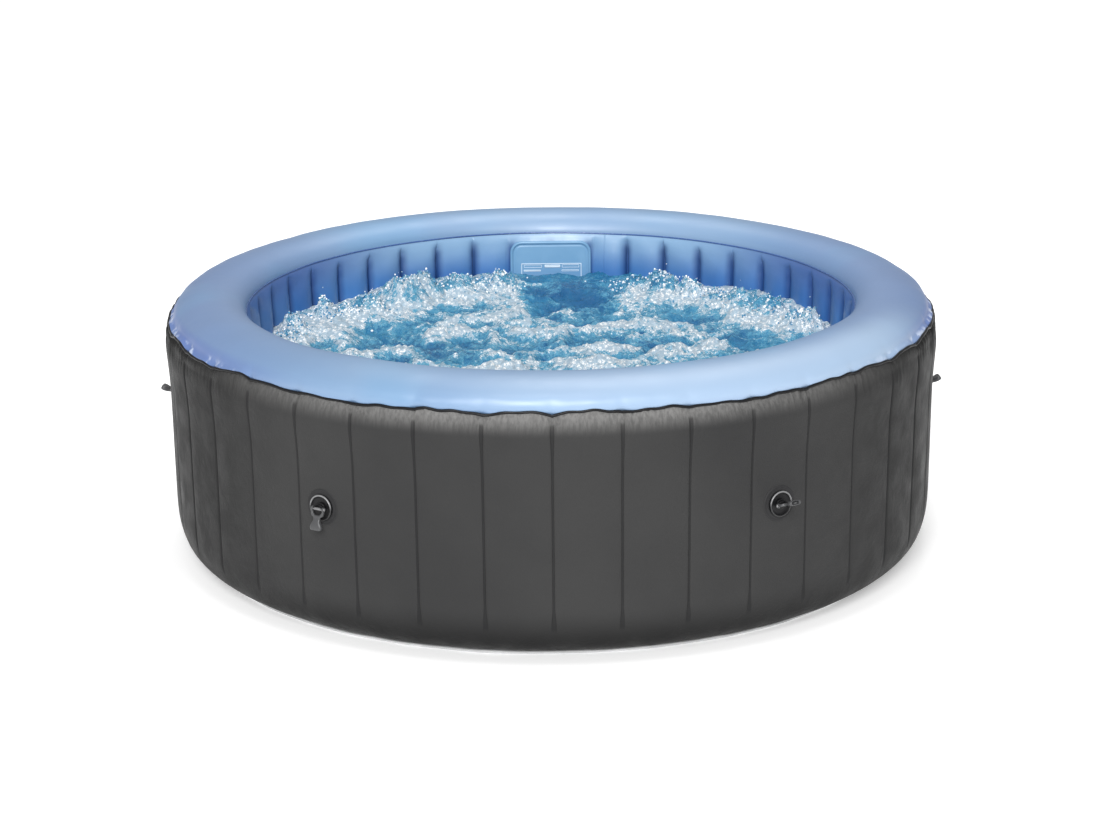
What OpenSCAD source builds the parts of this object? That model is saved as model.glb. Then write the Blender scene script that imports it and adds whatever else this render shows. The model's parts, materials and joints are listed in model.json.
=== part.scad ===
// Round inflatable hot tub for six, with its heater, pump and blower unit plugged in at the back.
// Millimetres. +Z is up, the front is -Y, and the origin is the middle of the ground mat's underside.

/* [Tub] */
// Outside diameter of the inflated wall
tub_d = 2040; // [1960:10:2120]
// Height of the top ring above the ground
tub_h = 713; // [695:1:740]
// Diameter of the seam that joins the top ring to the inner wall
seam_d = 1624; // [1600:2:1640]
// Number of vertical welds on the outer wall
outer_welds = 38; // [30:1:44]
// Number of vertical creases on the inner wall
inner_creases = 45; // [36:1:50]

/* [Cover buckles] */
// Height of the cover buckles above the ground
buckle_z = 365; // [300:5:430]
// Distance of the front and side buckles from the front, in weld spaces
buckle_cells = [3.5, 10.5];
// Radius of the round patch that is welded on for a buckle
patch_r = 46; // [42:1:52]

/* [Heater unit] */
// Width of the heater unit
unit_w = 360; // [350:5:400]
// Depth of the heater unit
unit_d = 300; // [290:5:340]
// Height of the heater unit's casing above the ground
unit_h = 432; // [425:1:440]

/* [Hidden] */
$fn = 96;
tub_r = tub_d / 2;
seam_r = seam_d / 2;
sheet_t = 1.5;         // laminated PVC sheet
mat_t = 8;             // ground mat
mat_r = tub_r - 102;
bottom_r = tub_r - 113; // bottom sheet with its weld flange
bottom_z = mat_t + 2;  // top of the bottom sheet
floor_z = bottom_z + 2;
foot_a = 118;          // lower corner of the outer wall, across and up
foot_b = 110;
shoulder_z = 600;
shoulder_a = 30;       // upper corner of the outer wall
shoulder_b = 70;
welt_z = tub_h - 59;
welt_t = 4;
ring_z = welt_z + welt_t;
ring_apex_r = tub_r - 129;
seam_z = tub_h - 53;
welt_r = tub_r - shoulder_a + shoulder_a * cos(asin((welt_z - shoulder_z) / shoulder_b));
inner_r = seam_r - 6;  // inner wall below its upper band
inner_foot_a = 60;
inner_foot_b = 80;
web_z0 = 125;
web_z1 = 590;
web_t = 0.8;
crown_r = inner_r - 40;
gap = 0.1;             // between curved faces that touch in the real object

// Service panel and the three ports through the wall at the back
panel_w = 236;
panel_x = 1;           // the panel sits a hair to the right of the middle
panel_z0 = 112;
panel_z1 = 639;
panel_corner = 34;
panel_t = 8;
panel_reach = panel_w / 2 + panel_x;
panel_y = sqrt(inner_r * inner_r - panel_reach * panel_reach) - 0.5; // back face of the panel
plate_w = 240;
panel_face = panel_y - panel_t;
port_x = 75;
port_z = 190;
air_z = 350;
port_r = 19;
port_bore = 16;
port_flange_r = 30;
port_end = tub_r + 28;
plate_y = tub_r + 0.5; // inner face of the outside port plate
plate_t = 6;
ports = [[-port_x, port_z], [port_x, port_z], [0, air_z]];

// Heater unit
unit_y0 = tub_r + 50;
unit_y1 = unit_y0 + unit_d;
unit_yc = (unit_y0 + unit_y1) / 2;
unit_corner = 40;
unit_wall = 3;
unit_foot = 12;
tray_top = 34;
fascia_t = 6;
fascia_w = 220;
fascia_d = 116;
fascia_z = unit_h;
button_r = 8;
button_clear = 0.4;
button_x = [-80, -52, 24, 52, 80];
button_y = unit_yc - 22;
lens_w = 64;
lens_d = 30;
handle_pivot_z = unit_h - 52;
handle_arm = 174;
handle_rest = 22;      // how far the arms hang below level, with the grip against the casing
handle_x = unit_w / 2 + 8;
handle_t = 8;
handle_pin_r = 5;
grip_r = 9;
pump_r = 46;
pump_y0 = unit_y0 + 40;
heater_r = 34;
blower_x = 45;
blower_y = unit_yc + 10;
blower_r = 62;
blower_z0 = air_z - 28;

// Valves on the back of the wall, as angles from the front
inflate_az = 152;
inflate_z = 540;
drain_az = -152;
drain_z = 152;

// Cover buckles
weld_step = 360 / outer_welds;
pin_out = tub_r + 18;  // distance of the hinge bar from the tub's axis
bar_r = 3.5;
bar_w = 42;
// each buckle: angle from the front, how far it is turned from hanging down, and its tilt off the wall
front_skew = -0.35;    // the front pair is welded on a little to one side of the middle
buckles = [
    [-buckle_cells[0] * weld_step + front_skew, 0, 16],
    [buckle_cells[0] * weld_step + front_skew, 180, 74],
    [-buckle_cells[1] * weld_step, 180, 70],
    [buckle_cells[1] * weld_step, 180, 64]
];

// ---- shared shapes ----

// Points on an ellipse's arc
function arc(cx, cy, a, b, from, to, n) =
    [for (i = [0:n]) let (t = from + (to - from) * i / n) [cx + a * cos(t), cy + b * sin(t)]];

function backwards(points) = [for (i = [len(points) - 1:-1:0]) points[i]];

// Turns children from the front of the tub to an angle round it, with -Y still pointing outwards
module round_tub(az) { rotate([0, 0, az]) children(); }

// A rod along X, from x0 to x1
module x_rod(r, x0, x1) { translate([x0, 0, 0]) rotate([0, 90, 0]) cylinder(h = x1 - x0, r = r); }

// A cylinder along +Y from y0 to y1
module y_rod(x, z, r, y0, y1) {
    translate([x, y0, z]) rotate([-90, 0, 0]) cylinder(h = y1 - y0, r = r);
}

// A tube along +Y
module y_tube(x, z, r, bore, y0, y1) {
    difference() {
        y_rod(x, z, r, y0, y1);
        y_rod(x, z, bore, y0 - 1, y1 + 1);
    }
}

// A cylinder that points out of the wall at the front, from radius r0 to radius r1 of the tub
module out_rod(r, r0, r1, z = 0) {
    translate([0, -r0, z]) rotate([90, 0, 0]) cylinder(h = r1 - r0, r = r);
}

module rounded(w, d, r) {
    square([w - 2 * r, d], center = true);
    square([w, d - 2 * r], center = true);
    for (x = [-1, 1], y = [-1, 1]) translate([x * (w / 2 - r), y * (d / 2 - r)]) circle(r);
}

// A rounded plate that stands upright across +Y
module upright_plate(w, z0, z1, r, y0, y1) {
    translate([0, y1, (z0 + z1) / 2]) rotate([90, 0, 0])
        linear_extrude(y1 - y0) rounded(w, z1 - z0, r);
}

// ---- the tub's sheets ----

module ground_mat() { color("silver") cylinder(h = mat_t, r = mat_r); }

module bottom_sheet() {
    color("dimgray") translate([0, 0, mat_t]) cylinder(h = bottom_z - mat_t, r = bottom_r);
}

module inner_floor() {
    color("steelblue") translate([0, 0, bottom_z])
        cylinder(h = floor_z - bottom_z, r = inner_r + inner_foot_a + 6);
}

function outer_profile(t) = concat(
    arc(tub_r - foot_a, bottom_z + foot_b, foot_a - t, foot_b - t, -89.9, 0, 10),
    arc(tub_r - shoulder_a, shoulder_z, shoulder_a - t, shoulder_b - t, 0,
        asin((welt_z - shoulder_z) / (shoulder_b - t)), 6)
);

module outer_wall() {
    color("dimgray") difference() {
        rotate_extrude() polygon(concat(
            [[tub_r - foot_a - 8, bottom_z], [tub_r - foot_a, bottom_z]],
            outer_profile(0),
            backwards(outer_profile(sheet_t)),
            [[tub_r - foot_a - 8, bottom_z + sheet_t]]
        ));
        for (p = ports) y_rod(p[0], p[1], port_r + gap, tub_r - 40, tub_r + 10);
        round_tub(inflate_az) out_rod(17, tub_r - 30, tub_r + 10, inflate_z);
        round_tub(drain_az) out_rod(17, tub_r - 30, tub_r + 10, drain_z);
    }
}

function inner_profile(t) = concat(
    [[seam_r + t, seam_z], [inner_r + t, shoulder_z]],
    arc(inner_r + inner_foot_a, floor_z + inner_foot_b, inner_foot_a - t, inner_foot_b - t, 180, 270, 8)
);

module inner_wall() {
    color("cornflowerblue") difference() {
        rotate_extrude() polygon(concat(
            inner_profile(0),
            [[inner_r + inner_foot_a + 5, floor_z], [inner_r + inner_foot_a + 5, floor_z + sheet_t]],
            backwards(inner_profile(sheet_t))
        ));
        for (p = ports) y_rod(p[0], p[1], port_r + gap, inner_r - 40, inner_r + 10);
        round_tub(drain_az) out_rod(15 + gap, inner_r - 20, inner_r + 20, drain_z);
    }
}

function ring_profile(t) = concat(
    arc(ring_apex_r, ring_z, welt_r - ring_apex_r - t, tub_h - ring_z - t, 0, 90, 10),
    arc(ring_apex_r, seam_z, ring_apex_r - seam_r - t, tub_h - seam_z - t, 95, 180, 9)
);

module top_ring() {
    color("lightsteelblue") rotate_extrude()
        polygon(concat(ring_profile(0), backwards(ring_profile(sheet_t))));
}

module rim_welt() {
    color("black") translate([0, 0, welt_z]) difference() {
        cylinder(h = welt_t, r = welt_r + 7);
        translate([0, 0, -1]) cylinder(h = welt_t + 2, r = welt_r - 6);
    }
}

// One upright strap from each inner crease to the nearest outer weld, leaving out those at the ports
module web_straps() {
    color("lightgray") for (i = [0:inner_creases - 1]) {
        az = (i + 0.5) * 360 / inner_creases;
        weld = round(az / weld_step) * weld_step;
        p = (inner_r + sheet_t + gap) * [sin(az), -cos(az)];
        q = (tub_r - sheet_t - gap) * [sin(weld), -cos(weld)];
        u = (q - p) / norm(q - p);
        n = [-u[1], u[0]] * web_t / 2;
        at_valve = abs(az - inflate_az) < 5 || abs(az - 360 - drain_az) < 5;
        if (abs(az - 176) > 6 && !at_valve)
            translate([0, 0, web_z0]) linear_extrude(web_z1 - web_z0)
                polygon([p - n + u * 0.2, q - n - u * 0.2, q + n - u * 0.2, p + n + u * 0.2]);
    }
}

// Half-round channel on the floor with a row of air holes along its crown
module bubble_channel() {
    color("steelblue") difference() {
        rotate_extrude() polygon(concat(
            arc(crown_r, floor_z, 28, 22, 0, 180, 12),
            backwards(arc(crown_r, floor_z, 26, 20, 0, 180, 12))
        ));
        for (i = [0:35]) rotate([0, 0, i * 10 + 5])
            translate([crown_r, 0, floor_z + 10]) cylinder(h = 20, r = 1.5, $fn = 24);
        translate([0, crown_r, floor_z + 10]) cylinder(h = 20, r = 12 + gap);
    }
}

// ---- panel, ports and filter ----

module service_panel() {
    color("cornflowerblue") difference() {
        translate([panel_x, 0, 0]) {
            upright_plate(panel_w, panel_z0, panel_z1, panel_corner, panel_face + 3, panel_y);
            upright_plate(panel_w - 12, panel_z0 + 6, panel_z1 - 6, panel_corner - 6,
                          panel_face, panel_face + 4);
        }
        for (p = ports) y_rod(p[0], p[1], port_r + gap, panel_face - 1, panel_y + 1);
    }
}

module port_plate() {
    color("dimgray") difference() {
        upright_plate(plate_w, panel_z0 + 10, air_z + 60, panel_corner, plate_y, plate_y + plate_t);
        for (p = ports) y_rod(p[0], p[1], port_r + gap, plate_y - 1, plate_y + plate_t + 1);
    }
}

gasket_t = 2;

// A tube through the whole wall, with a flange inside the well and a spigot of its own length
module port_fitting(p, spigot) {
    y1 = panel_face - gasket_t;
    difference() {
        union() {
            y_rod(p[0], p[1], port_r, y1 - 6 - spigot, port_end);
            y_rod(p[0], p[1], port_flange_r, y1 - 6, y1);
        }
        y_rod(p[0], p[1], port_bore, y1 - 7 - spigot, port_end + 1);
    }
}

module suction_fitting() { color("whitesmoke") port_fitting(ports[0], 30); }
module return_fitting() { color("whitesmoke") port_fitting(ports[1], 12); }
module air_fitting() { color("whitesmoke") port_fitting(ports[2], 0); }

module port_gaskets() {
    color("black") for (p = ports) {
        y_tube(p[0], p[1], port_flange_r, port_r + gap, panel_face - gasket_t, panel_face);
        y_tube(p[0], p[1], port_flange_r, port_r + gap, plate_y + plate_t, plate_y + plate_t + gasket_t);
    }
}

module port_nuts() {
    y0 = plate_y + plate_t + gasket_t;
    color("dimgray") for (p = ports) difference() {
        union() {
            y_rod(p[0], p[1], port_flange_r, y0, y0 + 3);
            translate([p[0], y0, p[1]]) rotate([-90, 0, 0]) cylinder(h = 9, r = 27, $fn = 8);
        }
        y_rod(p[0], p[1], port_r + gap, y0 - 1, y0 + 10);
    }
}

module return_grille() {
    x = ports[1][0];
    z = ports[1][1];
    y1 = panel_face - gasket_t - 6;
    color("white") difference() {
        y_rod(x, z, port_flange_r, y1 - 18, y1 - gap);
        y_rod(x, z, port_r + gap, y1 - 14, y1 + 1);
        for (i = [-2:2]) translate([x + i * 7 - 1.75, y1 - 30, z - 12]) cube([3.5, 20, 24]);
    }
}

// Elbow on the air port and the pipe down to the bubble channel
module air_drop_pipe() {
    y1 = panel_face - gasket_t - 6 - gap;
    color("cornflowerblue") difference() {
        union() {
            y_rod(0, air_z, 20, crown_r - 15, y1);
            translate([0, crown_r, floor_z + 24]) cylinder(h = air_z - floor_z - 30, r = 12);
        }
        y_rod(0, air_z, 10, crown_r - 9, y1 + 1);
        translate([0, crown_r, floor_z + 23]) cylinder(h = air_z - floor_z - 25, r = 8);
    }
}

filter_y1 = panel_face - gasket_t - 6 - 1;
filter_y0 = filter_y1 - 96;
pleats = 36;

// Pleated paper between two end caps, on a core that slides over the suction spigot
module filter_cartridge() {
    x = ports[0][0];
    z = ports[0][1];
    color("white") difference() {
        union() {
            translate([x, filter_y1 - 6, z]) rotate([90, 0, 0]) linear_extrude(filter_y1 - filter_y0 - 12)
                polygon([for (i = [0:2 * pleats - 1]) let (r = i % 2 == 0 ? 50 : 42)
                    r * [cos(i * 180 / pleats), sin(i * 180 / pleats)]]);
            y_rod(x, z, 52, filter_y0, filter_y0 + 6);
            y_rod(x, z, 52, filter_y1 - 6, filter_y1);
        }
        y_rod(x, z, port_r + 0.5, filter_y0 - 1, filter_y1 + 1);
    }
}

module filter_cap() {
    x = ports[0][0];
    z = ports[0][1];
    y1 = filter_y0 - 0.4;
    color("white") difference() {
        union() {
            y_rod(x, z, 54, y1 - 6, y1);
            y_rod(x, z, 12, y1 - 6, y1 + 20);
            translate([x - 34, y1 - 20, z - 4]) cube([68, 16, 8]);
        }
        for (i = [0:7]) translate([x, y1, z]) rotate([90, i * 45 + 22.5, 0])
            translate([40, 0, -1]) cylinder(h = 8, r = 5);
    }
}

// ---- valves ----

module inflation_valve() {
    color("dimgray") round_tub(inflate_az) difference() {
        union() {
            out_rod(26, tub_r + 0.5, tub_r + 4, inflate_z);
            out_rod(16.5, tub_r - 28, tub_r + 12, inflate_z);
        }
        out_rod(11, tub_r - 20, tub_r + 13, inflate_z);
        out_rod(3.4, tub_r - 29, tub_r - 19, inflate_z);
    }
}

module inflation_plunger() {
    color("whitesmoke") round_tub(inflate_az) {
        out_rod(9, tub_r - 3, tub_r, inflate_z);
        out_rod(3.3, tub_r - 31, tub_r - 2, inflate_z);
        out_rod(12, tub_r - 32, tub_r - 28.4, inflate_z);
    }
}

module inflation_cap() {
    color("black") round_tub(inflate_az) difference() {
        union() {
            out_rod(22, tub_r + 4.5, tub_r + 18, inflate_z);
            translate([-15, -tub_r - 24, inflate_z - 2.5]) cube([30, 8, 5]);
        }
        out_rod(17, tub_r + 4, tub_r + 14, inflate_z);
    }
}

module drain_valve() {
    color("dimgray") round_tub(drain_az) difference() {
        union() {
            out_rod(30, tub_r + 0.6, tub_r + 5, drain_z);
            out_rod(15, inner_r - 1, tub_r + 24, drain_z);
            out_rod(24, inner_r - 7, inner_r - 1, drain_z);
        }
        out_rod(12, inner_r - 8, tub_r + 25, drain_z);
    }
}

module drain_cap() {
    color("black") round_tub(drain_az) difference() {
        union() {
            out_rod(21, tub_r + 5.5, tub_r + 29, drain_z);
            for (i = [0:5]) translate([0, 0, drain_z]) rotate([0, i * 60, 0])
                translate([-2, -tub_r - 27, 19]) cube([4, 20, 4]);
        }
        out_rod(15.5, tub_r + 4, tub_r + 25, drain_z);
    }
}

module drain_plug() {
    color("white") round_tub(drain_az) {
        out_rod(11.6, inner_r - 9, inner_r + 18, drain_z);
        out_rod(20, inner_r - 12, inner_r - 7.3, drain_z);
        translate([-12, -inner_r + 11, drain_z - 2]) cube([24, 12, 4]);
    }
}

// ---- cover buckles ----

module buckle_patches() {
    color("dimgray") for (b = buckles) round_tub(b[0]) intersection() {
        difference() {
            translate([0, 0, buckle_z - 60]) cylinder(h = 120, r = tub_r + 1.6);
            translate([0, 0, buckle_z - 61]) cylinder(h = 122, r = tub_r + gap);
        }
        out_rod(patch_r, tub_r - 20, tub_r + 20, buckle_z);
    }
}

// Round base with a raised rim and a headed post for the swivel
module buckle_bases() {
    color("black") for (b = buckles) round_tub(b[0]) {
        difference() {
            out_rod(32, tub_r + 1.8, tub_r + 10, buckle_z);
            out_rod(28.5, tub_r + 4, tub_r + 11, buckle_z);
        }
        out_rod(6, tub_r + 3.5, tub_r + 9.5, buckle_z);
        out_rod(8.5, tub_r + 9.5, tub_r + 12, buckle_z);
    }
}

module turned(b) {
    round_tub(b[0]) translate([0, 0, buckle_z]) rotate([0, -b[1], 0]) children();
}

// Collar round the post and the bar that the buckle hangs on
module buckle_swivel(b) {
    color("black") turned(b) {
        difference() {
            union() {
                out_rod(13, tub_r + 5, tub_r + 9.2, 0);
                for (x = [-13, 9.5]) translate([x, -pin_out, -5]) cube([3.5, 11, 10]);
            }
            out_rod(6.3, tub_r + 4, tub_r + 10, 0);
        }
        translate([-bar_w / 2, -pin_out, 0]) rotate([0, 90, 0]) cylinder(h = bar_w, r = bar_r);
    }
}

arm_z = -12;        // where the yoke's two arms meet
waist_z = -26;
fan_z = -43;        // widest place of the socket
socket_z = -31;     // top of the thick part

// Outline of the buckle: drawn in at the waist, with a round end
module fan() {
    polygon(concat(
        arc(31.2, waist_z, 21.7, 21, 125, 228, 10),
        arc(0, fan_z, 17, 10, -10, -170, 10),
        arc(-31.2, waist_z, 21.7, 21, -48, 55, 10)
    ));
}

// Female half of a side-release buckle: a yoke with two eyes, a waist and an open socket
module buckle(b) {
    color("black") turned(b) translate([0, -pin_out, 0]) rotate([-b[2], 0, 0]) difference() {
        union() {
            for (x = [-19, 14]) {
                translate([x, 0, 0]) x_rod(6, 0, 5);
                translate([x, -3.5, arm_z]) cube([5, 7, -arm_z]);
            }
            translate([0, 3.5, 0]) rotate([90, 0, 0]) linear_extrude(7) fan();
            intersection() {
                translate([0, 6.5, 0]) rotate([90, 0, 0]) linear_extrude(13) fan();
                translate([-20, -10, socket_z - 30]) cube([40, 20, 30]);
            }
        }
        translate([0, 5, -4]) rotate([90, 0, 0]) cylinder(h = 10, r = 12);
        x_rod(bar_r + 0.3, -25, 25);
        translate([-10, -4, fan_z - 12]) cube([20, 8, 17]);
    }
}

// ---- couplings between the tub and the unit ----

module coupling_nut(p) {
    y0 = plate_y + plate_t + gasket_t + 10;
    color("dimgray") difference() {
        union() {
            y_rod(p[0], p[1], 29, y0, unit_y0 - 3);
            for (i = [0:11]) translate([p[0], y0 + 2, p[1]]) rotate([0, i * 30, 0])
                translate([-2, 0, 27]) cube([4, unit_y0 - 7 - y0, 4]);
        }
        y_rod(p[0], p[1], port_r + 3.5, y0 - 1, unit_y0);
    }
}

// ---- heater unit ----

module unit_block(z0, z1, inset) {
    translate([0, unit_yc, z0]) linear_extrude(z1 - z0)
        rounded(unit_w - 2 * inset, unit_d - 2 * inset, unit_corner - inset);
}

module unit_tray() {
    color("dimgray") difference() {
        unit_block(unit_foot, tray_top, 0);
        unit_block(unit_foot + 4, tray_top + 1, unit_wall);
    }
}

module unit_casing() {
    color("gray") difference() {
        unit_block(tray_top, unit_h, 0);
        unit_block(tray_top - 1, unit_h - 4, unit_wall);
        for (p = ports) y_rod(p[0], p[1], port_r + 1.5, unit_y0 - 1, unit_y0 + unit_wall + 1);
        translate([0, unit_yc + unit_d / 2 - 10, 70]) y_rod(-120, 0, 8.1, 0, 12);
        translate([unit_w / 2 - 10, unit_yc, 200]) cube([30, 90, 100], center = true);
        translate([0, unit_yc, handle_pivot_z]) x_rod(handle_pin_r + 0.08, -unit_w, unit_w);
        for (x = button_x) translate([x, button_y, unit_h - 3.2]) cylinder(h = 4, r = button_r + 1);
    }
}

module unit_feet() {
    color("black") for (x = [-1, 1], y = [-1, 1])
        translate([x * (unit_w / 2 - 45), unit_yc + y * (unit_d / 2 - 45), 0])
            cylinder(h = unit_foot, r = 14);
}

module control_fascia() {
    color("black") translate([0, unit_yc, fascia_z]) difference() {
        linear_extrude(fascia_t) rounded(fascia_w, fascia_d, 18);
        for (x = button_x) translate([x, button_y - unit_yc, -1])
            cylinder(h = fascia_t + 2, r = button_r + button_clear);
        translate([0, 24, fascia_t]) cube([lens_w + 0.4, lens_d + 0.4, 4], center = true);
    }
}

module display_lens() {
    color("darkslategray") translate([0, unit_yc + 24, fascia_z + fascia_t - 1])
        cube([lens_w, lens_d, 1.8], center = true);
}

module button(i) {
    color("lightgray") translate([button_x[i], button_y, fascia_z - 1.6])
        cylinder(h = fascia_t + 3.2, r = button_r);
}

// Bail handle with a headed pin at the end of each arm
module carry_handle() {
    inner = handle_x - handle_t / 2;
    color("black") translate([0, unit_yc, handle_pivot_z]) rotate([-handle_rest, 0, 0]) {
        for (side = [0, 1]) mirror([side, 0, 0]) {
            x_rod(14, inner, inner + handle_t);
            x_rod(handle_pin_r, inner - 12, inner + 1);
            x_rod(handle_pin_r + 4, inner - 13, inner - 10);
            translate([inner, 0, -7]) cube([handle_t, handle_arm, 14]);
        }
        translate([0, handle_arm, 0]) x_rod(grip_r, -handle_x - handle_t / 2, handle_x + handle_t / 2);
    }
}

module intake_grille() {
    color("black") translate([unit_w / 2, unit_yc, 200]) difference() {
        union() {
            translate([0.5, -52, -58]) cube([5, 104, 116]);
            translate([-8, -44.5, -49.5]) cube([9, 89, 99]);
        }
        for (i = [-4:4]) translate([-10, -38, i * 10 - 2.5]) cube([20, 76, 5]);
    }
}

module blower_housing() {
    color("whitesmoke") difference() {
        union() {
            translate([blower_x, blower_y, blower_z0]) cylinder(h = 56, r = blower_r);
            y_rod(0, air_z, port_r, unit_y0 - 16, blower_y);
        }
        translate([blower_x, blower_y, blower_z0 + 3]) cylinder(h = 50, r = blower_r - 3);
        translate([blower_x, blower_y, blower_z0 - 1]) cylinder(h = 5, r = 30);
        translate([blower_x, blower_y, blower_z0 + 50]) cylinder(h = 7, r = 7);
        y_rod(0, air_z, port_bore, unit_y0 - 17, blower_y - 20);
    }
}

// Backplate, hub and straight vanes
module impeller(r, h, vanes) {
    cylinder(h = 3, r = r);
    cylinder(h = h, r = 10);
    for (i = [0:vanes - 1]) rotate([0, 0, i * 360 / vanes]) translate([8, -1, 2]) cube([r - 10, 2, h - 4]);
}

module blower_impeller() {
    color("dimgray") {
        translate([blower_x, blower_y, blower_z0 + 8]) impeller(52, 34, 10);
        translate([blower_x, blower_y, blower_z0 + 8]) cylinder(h = 46, r = 5);
    }
}

module blower_motor() {
    color("silver") difference() {
        translate([blower_x, blower_y, blower_z0 + 56]) cylinder(h = 44, r = 30);
        translate([blower_x, blower_y, blower_z0 + 55]) cylinder(h = 12, r = 7);
    }
}

elbow = 34;

// Volute with its suction stub and an outlet pipe that runs back and across to the heater
module pump_housing() {
    x = ports[0][0];
    z = ports[0][1];
    up = z + pump_r + 24;
    back = pump_y0 + 150;
    color("dimgray") difference() {
        union() {
            y_rod(x, z, port_r, unit_y0 - 16, pump_y0 + 4);
            y_rod(x, z, pump_r, pump_y0, pump_y0 + 40);
            translate([x, pump_y0 + 20, z]) cylinder(h = up - z, r = 14);
            translate([x, pump_y0 + 20, up]) cube(elbow, center = true);
            y_rod(x, up, 14, pump_y0 + 20, back);
            translate([x, back, up]) cube(elbow, center = true);
            translate([x, back, up]) rotate([0, 90, 0]) cylinder(h = -2 * x, r = 14);
            translate([-x, back, up]) cube(elbow, center = true);
            translate([-x, back, z + heater_r + gap]) cylinder(h = up - z - heater_r, r = 14);
        }
        y_rod(x, z, port_bore, unit_y0 - 17, pump_y0 + 10);
        y_rod(x, z, pump_r - 4, pump_y0 + 4, pump_y0 + 36);
        y_rod(x, z, 6, pump_y0 + 30, pump_y0 + 41);
    }
}

module pump_impeller() {
    color("black") translate([ports[0][0], pump_y0 + 32, ports[0][1]]) rotate([90, 0, 0]) {
        impeller(38, 22, 6);
        translate([0, 0, -20]) cylinder(h = 22, r = 5);
    }
}

module pump_motor() {
    color("silver") difference() {
        y_rod(ports[0][0], ports[0][1], 40, pump_y0 + 40, pump_y0 + 140);
        y_rod(ports[0][0], ports[0][1], 6, pump_y0 + 39, pump_y0 + 60);
    }
}

module heater_tube() {
    x = ports[1][0];
    z = ports[1][1];
    color("silver") difference() {
        union() {
            y_rod(x, z, heater_r, pump_y0, pump_y0 + 190);
            y_rod(x, z, port_r, unit_y0 - 16, pump_y0 + 4);
        }
        y_rod(x, z, port_bore, unit_y0 - 17, pump_y0 + 10);
        y_rod(x, z, heater_r - 2, pump_y0 + 3, pump_y0 + 187);
    }
}

module circuit_board() {
    color("seagreen") {
        translate([-140, unit_yc - 40, 292]) cube([2, 150, 110]);
        for (i = [0:3]) translate([-138, unit_yc - 24 + i * 34, 312]) cube([14, 20, 30]);
    }
}

module cable_gland() {
    y1 = unit_y0 + unit_d;
    color("black") difference() {
        union() {
            y_rod(-120, 70, 8, y1 - 12, y1 + 1);
            y_rod(-120, 70, 13, y1 + 0.2, y1 + 8);
            y_rod(-120, 70, 10, y1 + 7, y1 + 24);
        }
        y_rod(-120, 70, 4.5, y1 - 13, y1 + 25);
    }
}

ground_mat();
bottom_sheet();
inner_floor();
outer_wall();
inner_wall();
top_ring();
rim_welt();
web_straps();
service_panel();
port_plate();
bubble_channel();
suction_fitting();
return_fitting();
air_fitting();
port_gaskets();
port_nuts();
return_grille();
air_drop_pipe();
filter_cartridge();
filter_cap();
inflation_valve();
inflation_plunger();
inflation_cap();
drain_valve();
drain_cap();
drain_plug();
buckle_patches();
buckle_bases();
buckle_swivel(buckles[0]);  // buckle_swivel_front_left
buckle(buckles[0]);  // buckle_front_left
buckle_swivel(buckles[1]);  // buckle_swivel_front_right
buckle(buckles[1]);  // buckle_front_right
buckle_swivel(buckles[2]);  // buckle_swivel_side_left
buckle(buckles[2]);  // buckle_side_left
buckle_swivel(buckles[3]);  // buckle_swivel_side_right
buckle(buckles[3]);  // buckle_side_right
coupling_nut(ports[0]);  // coupling_nut_suction
coupling_nut(ports[1]);  // coupling_nut_return
coupling_nut(ports[2]);  // coupling_nut_air
unit_tray();
unit_casing();
unit_feet();
control_fascia();
display_lens();
button(0);  // button_heat
button(1);  // button_filter
button(2);  // button_bubbles
button(3);  // button_up
button(4);  // button_down
carry_handle();
intake_grille();
blower_housing();
blower_impeller();
blower_motor();
pump_housing();
pump_impeller();
pump_motor();
heater_tube();
circuit_board();
cable_gland();
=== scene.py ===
import json
import math

import bmesh
import bpy
import numpy as np
from mathutils import Matrix, Vector


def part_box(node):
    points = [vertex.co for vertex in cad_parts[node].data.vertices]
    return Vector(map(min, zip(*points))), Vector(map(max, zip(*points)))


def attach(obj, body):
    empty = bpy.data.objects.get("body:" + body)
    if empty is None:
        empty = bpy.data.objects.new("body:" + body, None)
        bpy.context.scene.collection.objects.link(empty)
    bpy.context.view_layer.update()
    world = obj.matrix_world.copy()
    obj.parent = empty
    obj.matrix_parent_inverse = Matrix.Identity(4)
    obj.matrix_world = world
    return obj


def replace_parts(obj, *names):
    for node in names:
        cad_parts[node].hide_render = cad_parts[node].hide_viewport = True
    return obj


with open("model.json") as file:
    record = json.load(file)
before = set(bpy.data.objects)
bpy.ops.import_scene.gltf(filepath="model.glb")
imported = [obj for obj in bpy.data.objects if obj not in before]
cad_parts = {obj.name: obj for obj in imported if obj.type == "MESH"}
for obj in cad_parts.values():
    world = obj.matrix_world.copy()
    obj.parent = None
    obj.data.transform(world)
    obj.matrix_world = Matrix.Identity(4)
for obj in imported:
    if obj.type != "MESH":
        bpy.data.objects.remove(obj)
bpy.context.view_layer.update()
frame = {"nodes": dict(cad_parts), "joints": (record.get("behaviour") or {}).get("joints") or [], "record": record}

# ---- places and sizes, in metres, from the frame ----

MM = 0.001
TUB = "tub"
R = round(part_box("outer_wall")[1].x, 3)  # outside radius of the tub
TOP = round(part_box("top_ring")[1].z, 3)  # height of the top ring
MAT_R = round(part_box("ground_mat")[1].x, 3)
MAT_TOP = round(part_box("ground_mat")[1].z, 3)
APEX_R = R - 129 * MM  # top line of the ring
SEAM_R = R - 208 * MM  # seam between the ring and the inner wall
SEAM_Z = TOP - 53 * MM
LINER_R = SEAM_R - 6 * MM  # inside radius at the water
WELT_Z = TOP - 65 * MM  # mean height of the welt
WATER_Z = 0.508  # mean height of the water
WELDS = 38  # upright welds of the outer wall
CREASES = 45  # creases of the inner wall
WELD_STEP = 2 * math.pi / WELDS
CREASE_STEP = 2 * math.pi / CREASES
JOINTS = {j["name"]: j for j in frame["joints"]}
BUCKLES = ["front_left", "front_right", "side_left", "side_right"]
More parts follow.
